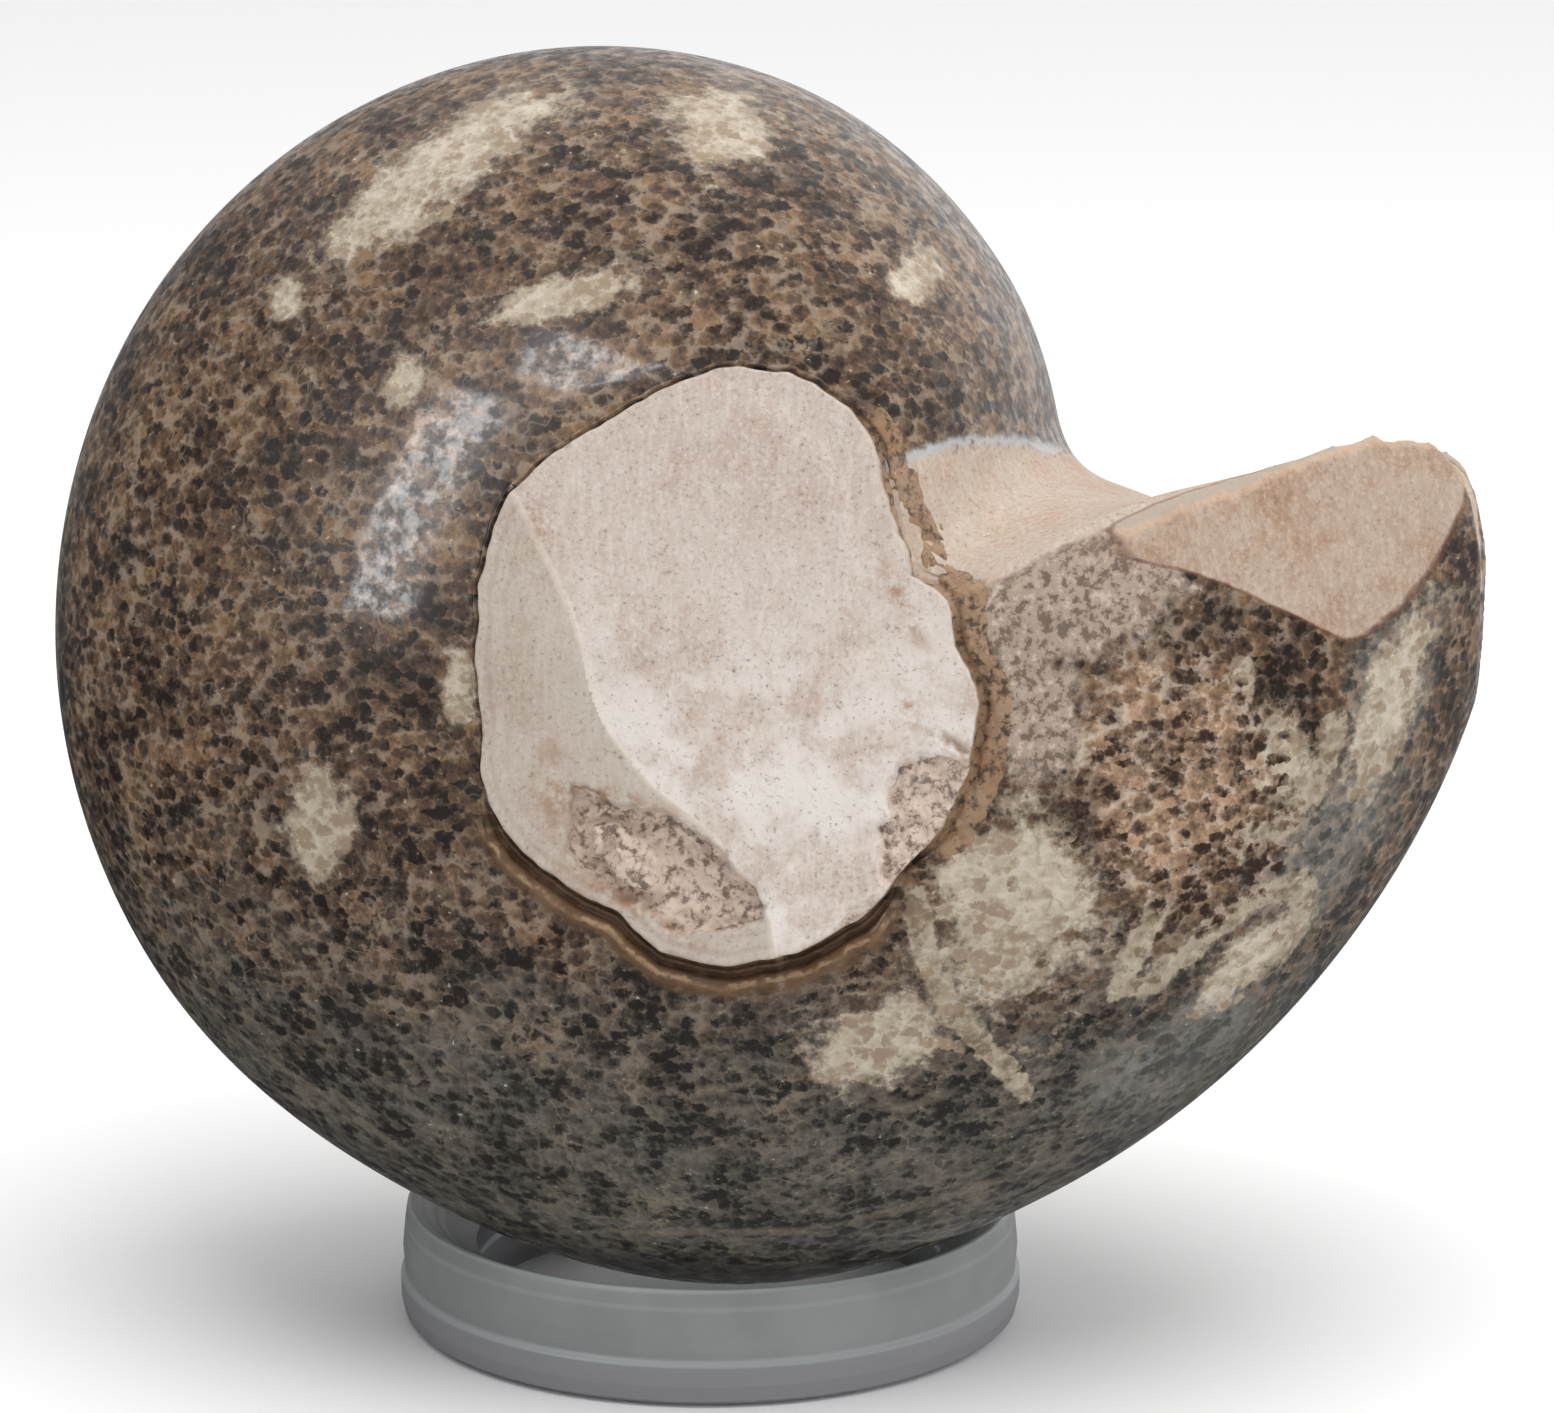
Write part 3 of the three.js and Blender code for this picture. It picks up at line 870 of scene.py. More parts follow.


# %% [markdown]
# Under the polish the shell has turned into calcite: brown grains about a millimetre across, packed like
# fish scales, each a little different, with paler seams between them and the odd painted white glint of
# light. A cell pattern gives the grains and a fine noise bends them and mottles each one. A wide noise lays
# clouds of lighter and darker grains over the flank. A picture wrapped round the stone would smear at its
# sides.

# %% Shader group for calcite grains
def build_grains():
    """Build the group that gives the pattern of packed calcite grains."""
    group, given, out = new_group(
        "calcite_grains", [("Vector", "Vector", None), ("Grain size", "Float", 1.0)],
        [("Mood", "Float"), ("Seam", "Float"), ("Fine", "Float"), ("Grain", "Float")])
    mottle = {"Vector": given["Vector"], "Scale": 1.6, "Detail": 3.0, "Roughness": 0.65}
    fine = put(group, "TexNoise", mottle)
    flat = put(group, "Mapping", {"Vector": given["Vector"], "Scale": (0.8, 0.9, 1.1)}).outputs[0]
    bent = put(group, "VectorMath", {0: flat, 1: fine.outputs["Color"]}, operation="ADD").outputs[0]
    scale = arithmetic(group, "DIVIDE", 1.0, given["Grain size"])
    cells = put(group, "TexVoronoi", {"Vector": bent, "Scale": scale}).outputs
    chance = put(group, "SeparateColor", {"Color": cells["Color"]}).outputs
    wide = cloud(group, given["Vector"], 6.0, 4.0, 0.62)
    mood = weighted(group, 0.0, [(0.45, chance[0]), (1.0, fine.outputs[0]), (1.1, wide),
                                 (0.3, cells["Distance"])])
    crisp = plus(group, cells["Distance"], times(group, fine.outputs[0], 0.4))
    seam = times(group, rise(group, crisp, 0.76, 1.0), rise(group, wide, 0.36, 0.56, 0.25, 1.0))
    wire(group, out["Mood"], mood)
    wire(group, out["Seam"], seam)
    wire(group, out["Fine"], fine.outputs[0])
    wire(group, out["Grain"], chance[0])
    return group


grains = build_grains()
print("calcite grains take", len(grains.nodes), "nodes")

# %% [markdown]
# The rock in the navel and the mouth is a fine, dull mudstone: pinkish tan, faintly streaked where it was
# rubbed down, and peppered with dark specks. It is one group with its colours as inputs, because the
# collar, the lobe's flat and the plug all show it, each in colours of its own.

# %% Shader group for the mudstone
def build_mudstone():
    """Build the group that paints the ground and broken mudstone."""
    group, given, out = new_group(
        "mudstone",
        [("Vector", "Vector", None), ("Base", "Color", None), ("Warm", "Color", None),
         ("Pale", "Color", None), ("Speck", "Color", None), ("Speckle", "Float", 0.6)],
        [("Color", "Color")])
    streaked = put(group, "Mapping", {"Vector": given["Vector"], "Scale": (1.0, 1.0, 0.12)}).outputs[0]
    warm = rise(group, cloud(group, given["Vector"], 7.0, 4.0, 0.7), 0.42, 0.66)
    colour = mix(group, warm, given["Base"], given["Warm"])
    streaks = rise(group, cloud(group, streaked, 0.6, 2.0, 0.6), 0.42, 0.7, 0.0, 0.35)
    colour = mix(group, streaks, colour, given["Pale"])
    fine = cloud(group, given["Vector"], 0.36, 2.0, 0.7)
    bright = rise(group, fine, 0.5, 0.3, 0.0, 0.5)
    colour = mix(group, bright, colour, given["Pale"])
    specks = times(group, rise(group, fine, 0.56, 0.76), given["Speckle"])
    wire(group, out["Color"], mix(group, specks, colour, given["Speck"]))
    return group


mudstone = build_mudstone()
print("mudstone takes", len(mudstone.nodes), "nodes")

# %% [markdown]
# Fine pale veins wander through the dark shell like the lines on a leaf. The contour where noise crosses
# its middle value makes such lines at little cost, and a second noise rubs most of them out.

# %% Shader group for wandering veins
def build_veins():
    """Build the group that masks thin wandering lines."""
    group, given, out = new_group(
        "wandering_veins",
        [("Vector", "Vector", None), ("Spacing", "Float", 9.0), ("Width", "Float", 0.012)],
        [("Mask", "Float")])
    field = cloud(group, given["Vector"], given["Spacing"], 4.0, 0.62)
    away = arithmetic(group, "ABSOLUTE", minus(group, field, 0.5))
    kept = rise(group, cloud(group, given["Vector"], 6.0, 1.0), 0.42, 0.6)
    line = rise(group, away, 0.0, given["Width"], 1.0, 0.0)
    wire(group, out["Mask"], times(group, line, kept))
    return group


veins = build_veins()
print("wandering veins take", len(veins.nodes), "nodes")

# %% [markdown]
# One material dresses the whole stone, because shell and rock run into each other grain by grain. It lays
# its layers from the bottom up: brown calcite, painted grey-green shade and reflection on the underside,
# painted grey sheen, pale blotches and veins, brown crystals, and last the mudstone with its stains and
# cracks. Each mask is a measured distance, roughened with noise so that no edge is drawn with a ruler. Shell
# is glossy and rock is dull, so the same masks steer the roughness.

# %% Masks from the measured distances
def sway(tree, shake, reach):
    """Turn noise from nought to one into a sway about nought, so many millimetres wide."""
    return times(tree, minus(tree, shake, 0.5), reach)


def shell_masks(tree, where, shake, patchy, grain):
    """Return soft masks for the places where the shell's calcite changes its colour, with painted shade low
    down and painted grey sheen among them.
    """
    uneven = weighted(tree, -0.5, [(0.95, shake), (0.85, patchy), (0.28, grain)])
    loop = minus(tree, fact(tree, "loop_mm"), times(tree, shake, 2.0))
    thin = minus(tree, fact(tree, "vein_mm"), times(tree, patchy, 0.9))
    # Painted shade: the shell is painted darker grey-green low down, as shade and a reflection under the
    # stone.
    low = plus(tree, height_of(tree, where), times(tree, patchy, 30.0))
    return {
        "low": rise(tree, low, 38.0, 66.0, 1.0, 0.0),
        "pale": rise(tree, minus(tree, fact(tree, "pale"), uneven), -0.15, 0.17, 0.0, 0.95),
        "loop": rise(tree, loop, -0.3, 0.05, 0.9, 0.0),
        "thin": rise(tree, thin, -0.4, 0.0, 0.4, 0.0),
        "crystals": rise(tree, minus(tree, fact(tree, "crystals"), uneven), -0.15, 0.1),
        # Painted sheen: grey reflections on the polish.
        "grey": rise(tree, minus(tree, fact(tree, "grey"), uneven), -0.4, 0.4, 0.0, 0.75),
    }


def rock_masks(tree, where, shake):
    """Return soft masks for all mudstone and for its places: flat, face, corner, ridge and fold."""
    jitter = sway(tree, shake, 1.6)
    mouth = rise(tree, plus(tree, fact(tree, "mouth_mm"), jitter), -0.6, 0.2)
    rim = rise(tree, plus(tree, fact(tree, "rim_mm"), times(tree, jitter, 0.3)), -0.25, 0.0)
    face = fact(tree, "face")
    ridge = arithmetic(tree, "ABSOLUTE", fact(tree, "ridge_mm"))
    fold = plus(tree, fact(tree, "fold_mm"), jitter)
    return {
        "rock": arithmetic(tree, "MAXIMUM", arithmetic(tree, "MAXIMUM", mouth, rim), face),
        "rim": rim,
        "face": face,
        # The face is painted lighter towards its bottom.
        "paler_lower_face": times(tree, face, rise(tree, height_of(tree, where), 76.0, 54.0, 0.0, 0.85)),
        "corner": times(tree, face, rise(tree, fact(tree, "ridge_mm"), -0.15, 0.1, 1.0, 0.0)),
        "ridge": rise(tree, ridge, 0.1, 0.45, 0.4, 0.0),
        "fold": rise(tree, fold, 0.6, 1.4, 0.8, 0.0),
    }


# %% [markdown]
# Broken edges are the liveliest part of a fossil. Beside the plug a lip of amber shell stands behind a
# groove that is painted dark as shade. The lobe's rounded crest has a painted grey sheen with a bright line
# below it, and the broken rock shows torn crystals. Each is a thin layer: a mask round one measured
# distance, and the colour that it lets through.

# %% Layers of the broken margin
def band(tree, value, middle, half):
    """Return a soft mask round one value."""
    away = arithmetic(tree, "ABSOLUTE", minus(tree, value, middle))
    return rise(tree, away, half * 0.3, half, 1.0, 0.0)


def margin_layers(tree, shake):
    """Return the lip's amber body, the painted shade of the dip beside it and its bright edge as (mask,
    colour) pairs.
    """
    jitter = sway(tree, shake, 1.2)
    beyond = plus(tree, fact(tree, "plug_mm"), jitter)
    lip = fact(tree, "lip")
    body = times(tree, lip, band(tree, beyond, 1.4, 1.9), 0.8)
    # Painted shade: the dip between the plug and the lip is painted dark.
    groove_shade = times(tree, lip, band(tree, beyond, 0.75, 0.45), rise(tree, shake, 0.6, 0.4, 0.2, 0.8))
    edge = times(tree, lip, band(tree, beyond, 1.75, 0.3), rise(tree, shake, 0.4, 0.6, 0.1, 0.7))
    under_facet = plus(tree, fact(tree, "rim_mm"), times(tree, jitter, 0.3))
    line = times(tree, band(tree, under_facet, -0.2, 0.24), 0.5)
    return [(body, ink(112, 82, 56)), (groove_shade, ink(62, 45, 34)), (edge, ink(180, 148, 112)),
            (line, ink(112, 70, 46))]


def crest_sheen_layers(tree, shake, rim):
    """Return the painted grey sheen along the lobe's rounded crest and the bright line below it."""
    jitter = sway(tree, shake, 1.5)
    below = plus(tree, fact(tree, "crest_mm"), jitter)
    # Painted sheen: light from above, reflected in the rounded crest, is laid into the colour.
    ledge_sheen = times(tree, rim, rise(tree, below, 2.0, 1.4, 0.0, 0.8))
    line = times(tree, rim, band(tree, below, 1.9, 0.5), 0.4)
    return [(ledge_sheen, ink(172, 160, 147)), (line, ink(206, 174, 146))]


def broken_colour(tree, crumbs):
    """Return the colour of broken rock on the face, and of broken amber crystals round it."""
    torn = rise(tree, crumbs, 0.46, 0.64)
    rock = mix(tree, torn, ink(210, 190, 174), ink(112, 92, 78))
    amber = mix(tree, torn, ink(150, 120, 92), ink(72, 54, 43))
    return mix(tree, fact(tree, "face"), amber, rock)


def crumbly_layers(tree, crumbs, shake):
    """Return the layers of the crumbly flank: pinkish grey, dark crumbs and pale flecks."""
    ragged = minus(tree, fact(tree, "crumbly"), shake)
    zone = rise(tree, ragged, -0.2, 0.12, 0.0, 0.85)
    dark = times(tree, zone, rise(tree, crumbs, 0.48, 0.6))
    flecks = times(tree, zone, rise(tree, crumbs, 0.42, 0.34, 0.0, 0.7))
    return [(zone, ink(176, 158, 143)), (dark, ink(104, 86, 72)), (flecks, ink(206, 192, 178))]


# %% [markdown]
# The groups give patterns, and the places give colours. Each row below is a place, with the colours that
# its pattern is painted in, so the whole stone can be tuned from two short tables. Every place's mask lets
# its row through over the rows before it.

# %% Colours of shell and rock by place
CALCITE_INKS = {  # dark grain, middling grain, bright grain, seam between grains
    "shell": [(38, 27, 21), (84, 63, 47), (134, 104, 74), (158, 142, 124)],
    # The low row is painted shade, with a grey-green reflection on the underside.
    "low": [(44, 43, 39), (84, 80, 72), (108, 102, 91), (112, 106, 96)],
    # The grey row is painted sheen, a reflection on the polish.
    "grey": [(84, 84, 80), (112, 112, 107), (134, 133, 127), None],
    "loop": [(128, 110, 86), (166, 152, 131), (188, 176, 157), None],
    "pale": [(152, 133, 110), (180, 167, 147), (198, 186, 168), (206, 196, 180)],
    "crystals": [(58, 40, 30), (128, 101, 78), (182, 148, 118), (204, 190, 174)]}
# Painted highlight: the colour of white glints of light on the polish.
PAINTED_GLINT_INK = (214, 210, 202)
# This row paints the plug's face lighter towards its bottom.
MUDSTONE_INKS = {  # base, warm patches, pale streaks
    "collar": [(184, 168, 153), (182, 156, 136), (202, 192, 180)],
    "rim": [(172, 152, 136), (156, 126, 104), (196, 178, 161)],
    "face": [(193, 178, 167), (186, 167, 154), (214, 207, 200)],
    "paler_lower_face": [(222, 216, 209), None, None],
    "corner": [(184, 172, 160), (174, 158, 143), (196, 188, 178)]}
SPECK_INK = (112, 96, 87)


def pick_colours(tree, choices):
    """Lay colours over each other: choices are a first colour, then (mask, colour) pairs."""
    colour = choices[0]
    for mask, above in choices[1:]:
        colour = mix(tree, mask, colour, above)
    return colour


def ink_by_place(tree, inks, masks, column):
    """Lay one column of a table of inks, each row through the mask of its place."""
    (_, first), *others = [(place, row[column]) for place, row in inks.items() if row[column]]
    return pick_colours(tree, [ink(*first)] + [(masks[place], ink(*colour)) for place, colour in others])


def paint_calcite(tree, calcite, masks):
    """Return the colour of the grains by place, with painted white glints of light."""
    dark, middle, light, seam = (ink_by_place(tree, CALCITE_INKS, masks, column) for column in range(4))
    # Painted highlight: white glints of light, scattered by fine noise.
    glint_highlight = rise(tree, calcite["Fine"], 0.68, 0.75, 0.0, 0.5)
    return pick_colours(tree, [
        dark, (rise(tree, calcite["Mood"], 1.14, 1.5), middle),
        (rise(tree, calcite["Mood"], 1.4, 1.85), light),
        (times(tree, calcite["Seam"], 0.5), seam), (glint_highlight, ink(*PAINTED_GLINT_INK))])


def paint_mudstone(tree, where, rocks):
    """Return the mudstone's colour by place."""
    base, warm, pale = (ink_by_place(tree, MUDSTONE_INKS, rocks, column) for column in range(3))
    colours = {"Base": base, "Warm": warm, "Pale": pale, "Speck": ink(*SPECK_INK)}
    return use_group(tree, mudstone, {"Vector": where, **colours})["Color"]


# %% [markdown]
# The stone's material stacks the layers. Bare shell was polished, so it has a thin clear coat of uneven
# gloss over a satin base, while rock stays dull. The pits between grains are a fraction of a millimetre
# deep, too small for the mesh, so a bump from the grains' own noise gives them.

# %% The stone's material
POLISH_ROUGHNESS = 0.42
ROCK_ROUGHNESS = 0.85
STONE_IOR = 1.45
COAT_ROUGHNESS = 0.09
VEIN_SPACING = 11.0
BAND_PITCH = 5.0


def build_stone():
    """Build the material of the fossil."""
    material, tree, shader = new_material("fossil_stone")
    where = millimetres(tree)
    shake = cloud(tree, where, 1.5, 3.0, 0.65)
    patchy = cloud(tree, where, 5.0, 2.0)
    crumbs = cloud(tree, where, 0.85, 3.0, 0.7)
    calcite = use_group(tree, grains, {"Vector": where, "Grain size": 1.0})
    masks = shell_masks(tree, where, shake, patchy, calcite["Grain"])
    rocks = rock_masks(tree, where, shake)
    mud = paint_mudstone(tree, where, rocks)
    net = use_group(tree, veins, {"Vector": where, "Spacing": VEIN_SPACING})["Mask"]
    is_broken = rise(tree, fact(tree, "broken"), 0.3, 0.8, 0.0, 0.85)
    stain = times(tree, fact(tree, "stain"), rise(tree, shake, 0.38, 0.62, 0.0, 0.75))
    wave = arithmetic(tree, "SINE", times(tree, fact(tree, "plug_mm"), BAND_PITCH))
    near_edge = rise(tree, fact(tree, "plug_mm"), -3.5, -1.0, 0.0, 0.3)
    bands = arithmetic(tree, "MAXIMUM", times(tree, wave, near_edge, rocks["corner"]), 0.0)
    colour = pick_colours(tree, [
        paint_calcite(tree, calcite, masks), (times(tree, net, 0.45), ink(140, 128, 108)),
        (masks["thin"], ink(128, 116, 98)), (rocks["fold"], ink(186, 188, 190)),
        *crumbly_layers(tree, crumbs, shake), (rocks["rock"], mud),
        *crest_sheen_layers(tree, shake, rocks["rim"]), (bands, ink(152, 134, 120)),
        (rocks["ridge"], ink(220, 208, 194)), (is_broken, broken_colour(tree, crumbs)),
        *margin_layers(tree, shake), (stain, ink(146, 100, 62))])
    wire(tree, shader.inputs["Base Color"], colour)
    wear = rise(tree, shake, 0.35, 0.7, POLISH_ROUGHNESS - 0.06, POLISH_ROUGHNESS + 0.16)
    dull = arithmetic(tree, "MAXIMUM", rocks["rock"], is_broken)
    wire(tree, shader.inputs["Roughness"], mix_value(tree, dull, wear, ROCK_ROUGHNESS))
    shader.inputs["IOR"].default_value = STONE_IOR
    glaze = rise(tree, shake, 0.42, 0.62, 0.15, 1.0)
    wire(tree, shader.inputs["Coat Weight"], mix_value(tree, dull, glaze, 0.0))
    shader.inputs["Coat Roughness"].default_value = COAT_ROUGHNESS
    shader.inputs["Coat IOR"].default_value = STONE_IOR
    relief = times(tree, calcite["Fine"], mix_value(tree, fact(tree, "face"), 0.4, 1.0))
    bump = put(tree, "Bump", {"Height": relief, "Strength": 0.6, "Distance": 0.00015})
    wire(tree, shader.inputs["Normal"], bump.outputs[0])
    return material


stone_material = build_stone()
for piece in (coil, near_plug, far_plug):
    piece.data.materials.append(stone_material)
    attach(piece, "root")
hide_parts("fossil")
print("stone material has", len(stone_material.node_tree.nodes), "nodes")

# %% [markdown]
# The ring is turned or moulded in one piece of frosted plastic, so it is a profile swept round a circle.
# Geometry Nodes do the sweep: the object holds only the profile, and the tree rounds its corners, sweeps
# it and sets it in place. Changing one input changes the whole ring.

# %% Sweep the ring
# The profile's points are radius and height. A link goes from a step's output to another step's input.
RING_PROFILE = [(18.6, 0), (23.7, 0), (24.7, 0.6), (25, 1.9), (25, 3.6), (24.6, 3.9), (24.8, 6), (24.6, 8.2),
                (24.4, 9.5), (24.1, 9.9), (23.5, 9.7), (22.4, 8.9), (18.6, 6.2)]
RING_SIDES = 256
CORNER_ROUNDING = 0.25
CORNER_STEPS = 3
RING_INPUTS = {"Geometry": "Geometry", "Centre": "Vector", "Sides": "Int", "Corner rounding": "Float",
               "Material": "Material"}
RING_STEPS = ("MeshToCurve", "FilletCurve", "CurvePrimitiveCircle", "CurveToMesh", "SetShadeSmooth",
              "Transform", "RealizeInstances", "SetMaterial")
RING_LINKS = [("Given", "Geometry", "MeshToCurve", 0), ("MeshToCurve", 0, "FilletCurve", "Curve"),
              ("Given", "Corner rounding", "FilletCurve", "Radius"),
              ("Given", "Sides", "CurvePrimitiveCircle", "Resolution"),
              ("CurvePrimitiveCircle", 0, "CurveToMesh", "Curve"),
              ("FilletCurve", 0, "CurveToMesh", "Profile Curve"),
              ("CurveToMesh", 0, "SetShadeSmooth", 0), ("SetShadeSmooth", 0, "Transform", "Geometry"),
              ("Given", "Centre", "Transform", "Translation"), ("Transform", 0, "RealizeInstances", 0),
              ("RealizeInstances", 0, "SetMaterial", "Geometry"),
              ("Given", "Material", "SetMaterial", "Material"), ("SetMaterial", 0, "Out", 0)]


def build_ring_tree():
    """Build the tree that sweeps a closed profile round a circle."""
    tree = bpy.data.node_groups.new("ring_sweep", "GeometryNodeTree")
    for name, kind in RING_INPUTS.items():
        tree.interface.new_socket(name, in_out="INPUT", socket_type="NodeSocket" + kind)
    tree.interface.new_socket("Geometry", in_out="OUTPUT", socket_type="NodeSocketGeometry")
    step = {kind: tree.nodes.new("GeometryNode" + kind) for kind in RING_STEPS}
    step["Given"] = tree.nodes.new("NodeGroupInput")
    step["Out"] = tree.nodes.new("NodeGroupOutput")
    step["FilletCurve"].mode = "POLY"
    step["FilletCurve"].inputs["Limit Radius"].default_value = True
    step["FilletCurve"].inputs["Count"].default_value = CORNER_STEPS
    step["CurvePrimitiveCircle"].inputs["Radius"].default_value = MM
    for start, output, end, socket in RING_LINKS:
        tree.links.new(step[start].outputs[output], step[end].inputs[socket])
    return tree


def set_inputs(modifier, values):
    """Set a modifier's inputs by the identifiers of their sockets."""
    for item in modifier.node_group.interface.items_tree:
        if item.item_type == "SOCKET" and item.in_out == "INPUT" and item.name in values:
            modifier[item.identifier] = values[item.name]


def finished_copy(worker, name):
    """Turn an object's evaluated result into a plain mesh object and remove the worker."""
    graph = bpy.context.evaluated_depsgraph_get()
    mesh = bpy.data.meshes.new_from_object(worker.evaluated_get(graph))
    mesh.name = name
    shape = bmesh.new()
    shape.from_mesh(mesh)
    bmesh.ops.remove_doubles(shape, verts=shape.verts, dist=SAME_POINT)
    bmesh.ops.recalc_face_normals(shape, faces=shape.faces)
    print(name, "encloses", round(shape.calc_volume(signed=True) / MM**3), "cubic millimetres")
    shape.to_mesh(mesh)
    shape.free()
    bpy.data.objects.remove(worker)
    return add_object(name, mesh)


# %% [markdown]
# Frosted plastic lets light in and scatters it, so it looks grey against white and glows a little at its
# thin upper edge. Plain transmission with a rough surface gives that, and a fine noise varies the frost.
# Light gathers at the rim and at the step, so each bright line is a height, a half width and a strength.
# Inside the seat the colour is painted dark as the stone's shade.

# %% The ring's material and mesh
BRIGHT_LINES = [(9.9, 0.45, 0.9), (8.3, 0.3, 0.3), (3.8, 0.45, 0.6)]
FOOT_HEIGHT = 3.7
SHADED_SEAT_RADIUS = 23.6
PLASTIC_IOR = 1.49
LIGHT_THROUGH = 0.55


def build_frosted_plastic():
    """Build the ring's material."""
    material, tree, shader = new_material("frosted_plastic")
    where = millimetres(tree)
    frost = cloud(tree, where, 0.35, 3.0, 0.6)
    veil = cloud(tree, where, 9.0, 3.0)
    colour = mix(tree, rise(tree, veil, 0.35, 0.65), ink(184, 189, 188), ink(199, 204, 202))
    height = height_of(tree, where)
    colour = mix(tree, rise(tree, height, FOOT_HEIGHT, FOOT_HEIGHT - 0.3), colour, ink(194, 193, 200))
    offset = put(tree, "VectorMath", {0: where, 1: (-ring_centre.x, -ring_centre.y, 0)}, operation="ADD")
    flat = put(tree, "VectorMath", {0: offset.outputs[0], 1: (1, 1, 0)}, operation="MULTIPLY").outputs[0]
    radius = put(tree, "VectorMath", {0: flat}, operation="LENGTH").outputs["Value"]
    # Painted shade: inside the seat the plastic is darkened where the stone shades it.
    colour = mix(tree, rise(tree, radius, SHADED_SEAT_RADIUS, SHADED_SEAT_RADIUS - 0.8), colour, ink(92, 93, 96))
    for middle, half, strength in BRIGHT_LINES:
        line = times(tree, band(tree, height, middle, half), strength)
        colour = mix(tree, line, colour, ink(232, 238, 238))
    wire(tree, shader.inputs["Base Color"], colour)
    wire(tree, shader.inputs["Roughness"], rise(tree, frost, 0.3, 0.7, 0.38, 0.5))
    shader.inputs["Transmission Weight"].default_value = LIGHT_THROUGH
    shader.inputs["IOR"].default_value = PLASTIC_IOR
    bump = put(tree, "Bump", {"Height": frost, "Strength": 0.12, "Distance": 0.00004})
    wire(tree, shader.inputs["Normal"], bump.outputs[0])
    return material


ring_material = build_frosted_plastic()
print("ring material has", len(ring_material.node_tree.nodes), "nodes")


def make_ring():
    """Sweep the ring's profile and return the finished piece."""
    mesh = bpy.data.meshes.new("ring_profile")
    corners = [(radius * MM, -height * MM, 0) for radius, height in RING_PROFILE]
    mesh.from_pydata(corners, [(k, (k + 1) % len(corners)) for k in range(len(corners))], [])
    worker = add_object("ring_profile", mesh)
    modifier = worker.modifiers.new("sweep", "NODES")
    modifier.node_group = build_ring_tree()
    centre = (ring_centre.x * MM, ring_centre.y * MM, 0.0)
    set_inputs(modifier, {"Centre": centre, "Sides": RING_SIDES, "Corner rounding": CORNER_ROUNDING * MM,
                          "Material": ring_material})
    return finished_copy(worker, "ring_stand_frosted")


ring = make_ring()
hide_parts("ring_stand")
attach(ring, "root")
print("ring", len(ring.data.polygons), "faces, box", [round(side / MM, 2) for side in ring.dimensions])

# %% [markdown]
# The studio is plain: a pale floor, a soft white sky that is dimmer on the left, and one broad lamp
# overhead. Polish mirrors the room, so what glossy rays meet in front and below is darker than the sky, and
# the camera itself sees plain white.

# %% Floor, sky and lamps
FLOOR_HALF = 3.0
FLOOR_GREY = 0.95
FLOOR_ROUGHNESS = 0.9
SKY_DARK = 0.2
SKY_BRIGHT = 1.0
ROOM_DARK = 0.15
LAMP_PLACE = (0.1, -0.2, 0.9)
LAMP_AIM = (0, 0, 0.05)
LAMP_SIDE = 0.8
LAMP_POWER = 5.5


def make_floor():
    """Lay the pale floor under the ring, kept out of mirror images."""
    mesh = bpy.data.meshes.new("floor")
    corners = [(-1, -1), (1, -1), (1, 1), (-1, 1)]
    mesh.from_pydata([(x * FLOOR_HALF, y * FLOOR_HALF, 0) for x, y in corners], [], [(0, 1, 2, 3)])
    floor = add_object("floor", mesh)
    floor.visible_glossy = False
    material, tree, shader = new_material("pale_floor")
    shader.inputs["Base Color"].default_value = (FLOOR_GREY, FLOOR_GREY, FLOOR_GREY, 1)
    shader.inputs["Roughness"].default_value = FLOOR_ROUGHNESS
    mesh.materials.append(material)


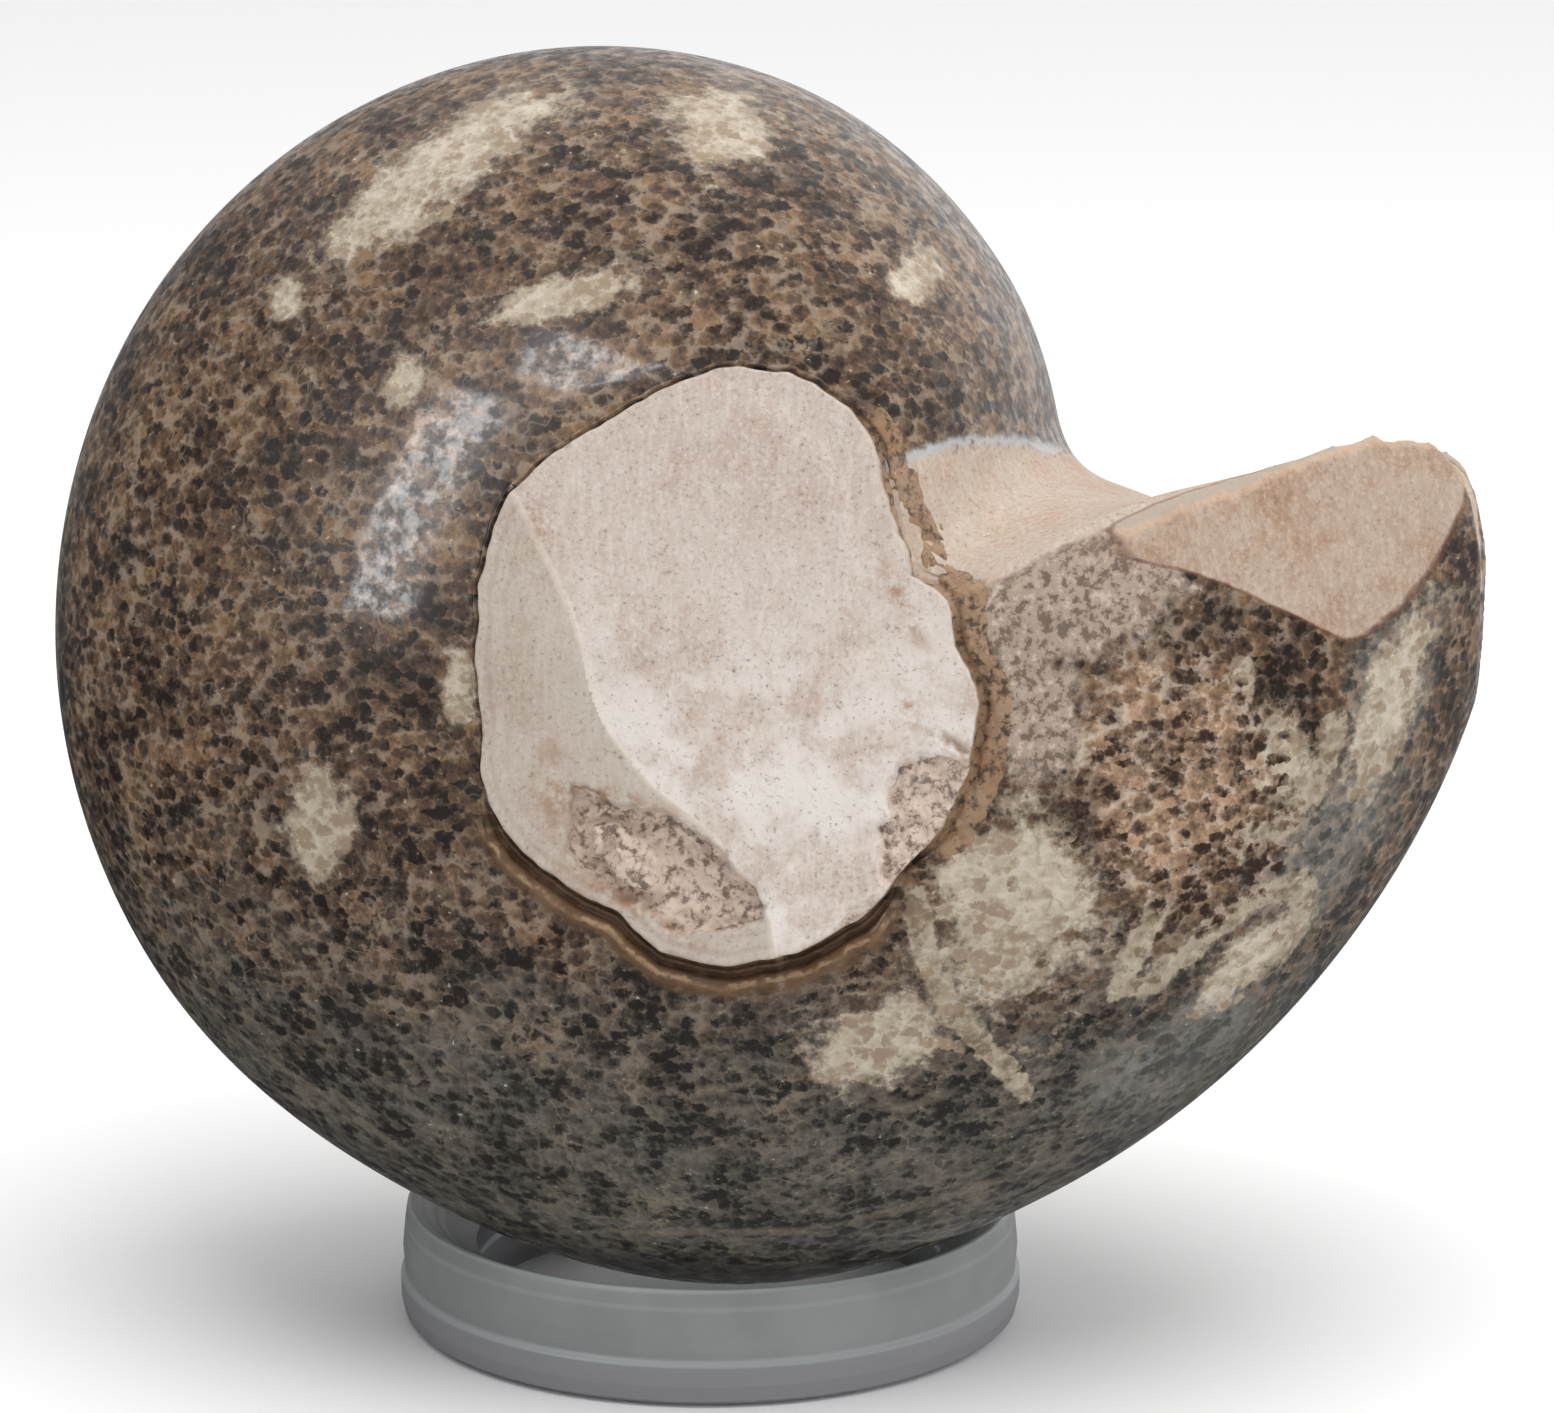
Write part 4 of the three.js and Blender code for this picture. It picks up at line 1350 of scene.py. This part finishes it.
def make_sky():
    """Light the studio from all round, less from the left, and show plain white behind the stone."""
    world = bpy.data.worlds.new("studio_sky")
    world.use_nodes = True
    tree = world.node_tree
    background = tree.nodes["Background"]
    toward = put(tree, "SeparateXYZ", {"Vector": put(tree, "TexCoord", {}).outputs["Generated"]}).outputs
    side = rise(tree, toward["X"], -0.6, 0.5, SKY_DARK, SKY_BRIGHT)
    light = arithmetic(tree, "MAXIMUM", side, rise(tree, toward["Z"], 0.3, 0.9, SKY_DARK, SKY_BRIGHT))
    ray = put(tree, "LightPath", {}).outputs
    in_front = rise(tree, toward["Y"], -0.6, 0.7, ROOM_DARK, 1.0)
    in_front = times(tree, in_front, rise(tree, toward["Z"], -0.4, 0.1, ROOM_DARK, 1.0))
    light = times(tree, light, mix_value(tree, ray["Is Glossy Ray"], 1.0, in_front))
    wire(tree, background.inputs["Strength"], mix_value(tree, ray["Is Camera Ray"], light, 1.0))
    background.inputs["Color"].default_value = (1, 1, 1, 1)
    bpy.context.scene.world = world


def make_lamp(name, place, aim, width, height, power, mirrored):
    """Hang a soft rectangular lamp that faces a point; it lights the stone or is mirrored in it."""
    data = bpy.data.lights.new(name, "AREA")
    data.shape = "RECTANGLE"
    data.size = width
    data.size_y = height
    data.energy = power
    lamp = add_object(name, data)
    lamp.visible_glossy = mirrored
    lamp.visible_diffuse = not mirrored
    lamp.location = place
    lamp.rotation_euler = (Vector(aim) - Vector(place)).to_track_quat("-Z", "Y").to_euler()


make_floor()
make_sky()
make_lamp("overhead", LAMP_PLACE, LAMP_AIM, LAMP_SIDE, LAMP_SIDE, LAMP_POWER, False)
print("floor, sky and overhead lamp are in place")

# %% [markdown]
# Two windows are mirrored in the polish of the upper left flank. A lamp that only shows in mirror images
# stands for each. It is put where its image falls on a chosen place of the flank, so its position is worked
# out from that place and the camera and isn't guessed.

# %% Windows in the polish
WINDOW_DISTANCE = 0.5
# A window is the u and v where its image falls, its width and height in metres, and its power.
WINDOWS = {"window_high": (-8.7, 20.6, 0.15, 0.10, 0.5), "window_left": (-23.5, 10.5, 0.08, 0.26, 0.75)}


def mirrored_place(flank_u, flank_v, distance):
    """Return a point of the coil and the place from where a lamp's mirror image falls on it."""
    near = coil_points[:, 2] < 0
    miss = np.hypot(coil_points[:, 0] - flank_u, coil_points[:, 1] - flank_v) + FAR_AWAY * ~near
    corner = coil.data.vertices[int(miss.argmin())]
    sight = (corner.co - camera.location).normalized()
    return corner.co, corner.co + sight.reflect(corner.normal) * distance


for name, (flank_u, flank_v, width, height, power) in WINDOWS.items():
    aim, place = mirrored_place(flank_u, flank_v, WINDOW_DISTANCE)
    make_lamp(name, place, aim, width, height, power, True)
    print(name, "hangs at", [round(value, 2) for value in place])

bpy.context.scene.view_settings.view_transform = "Standard"
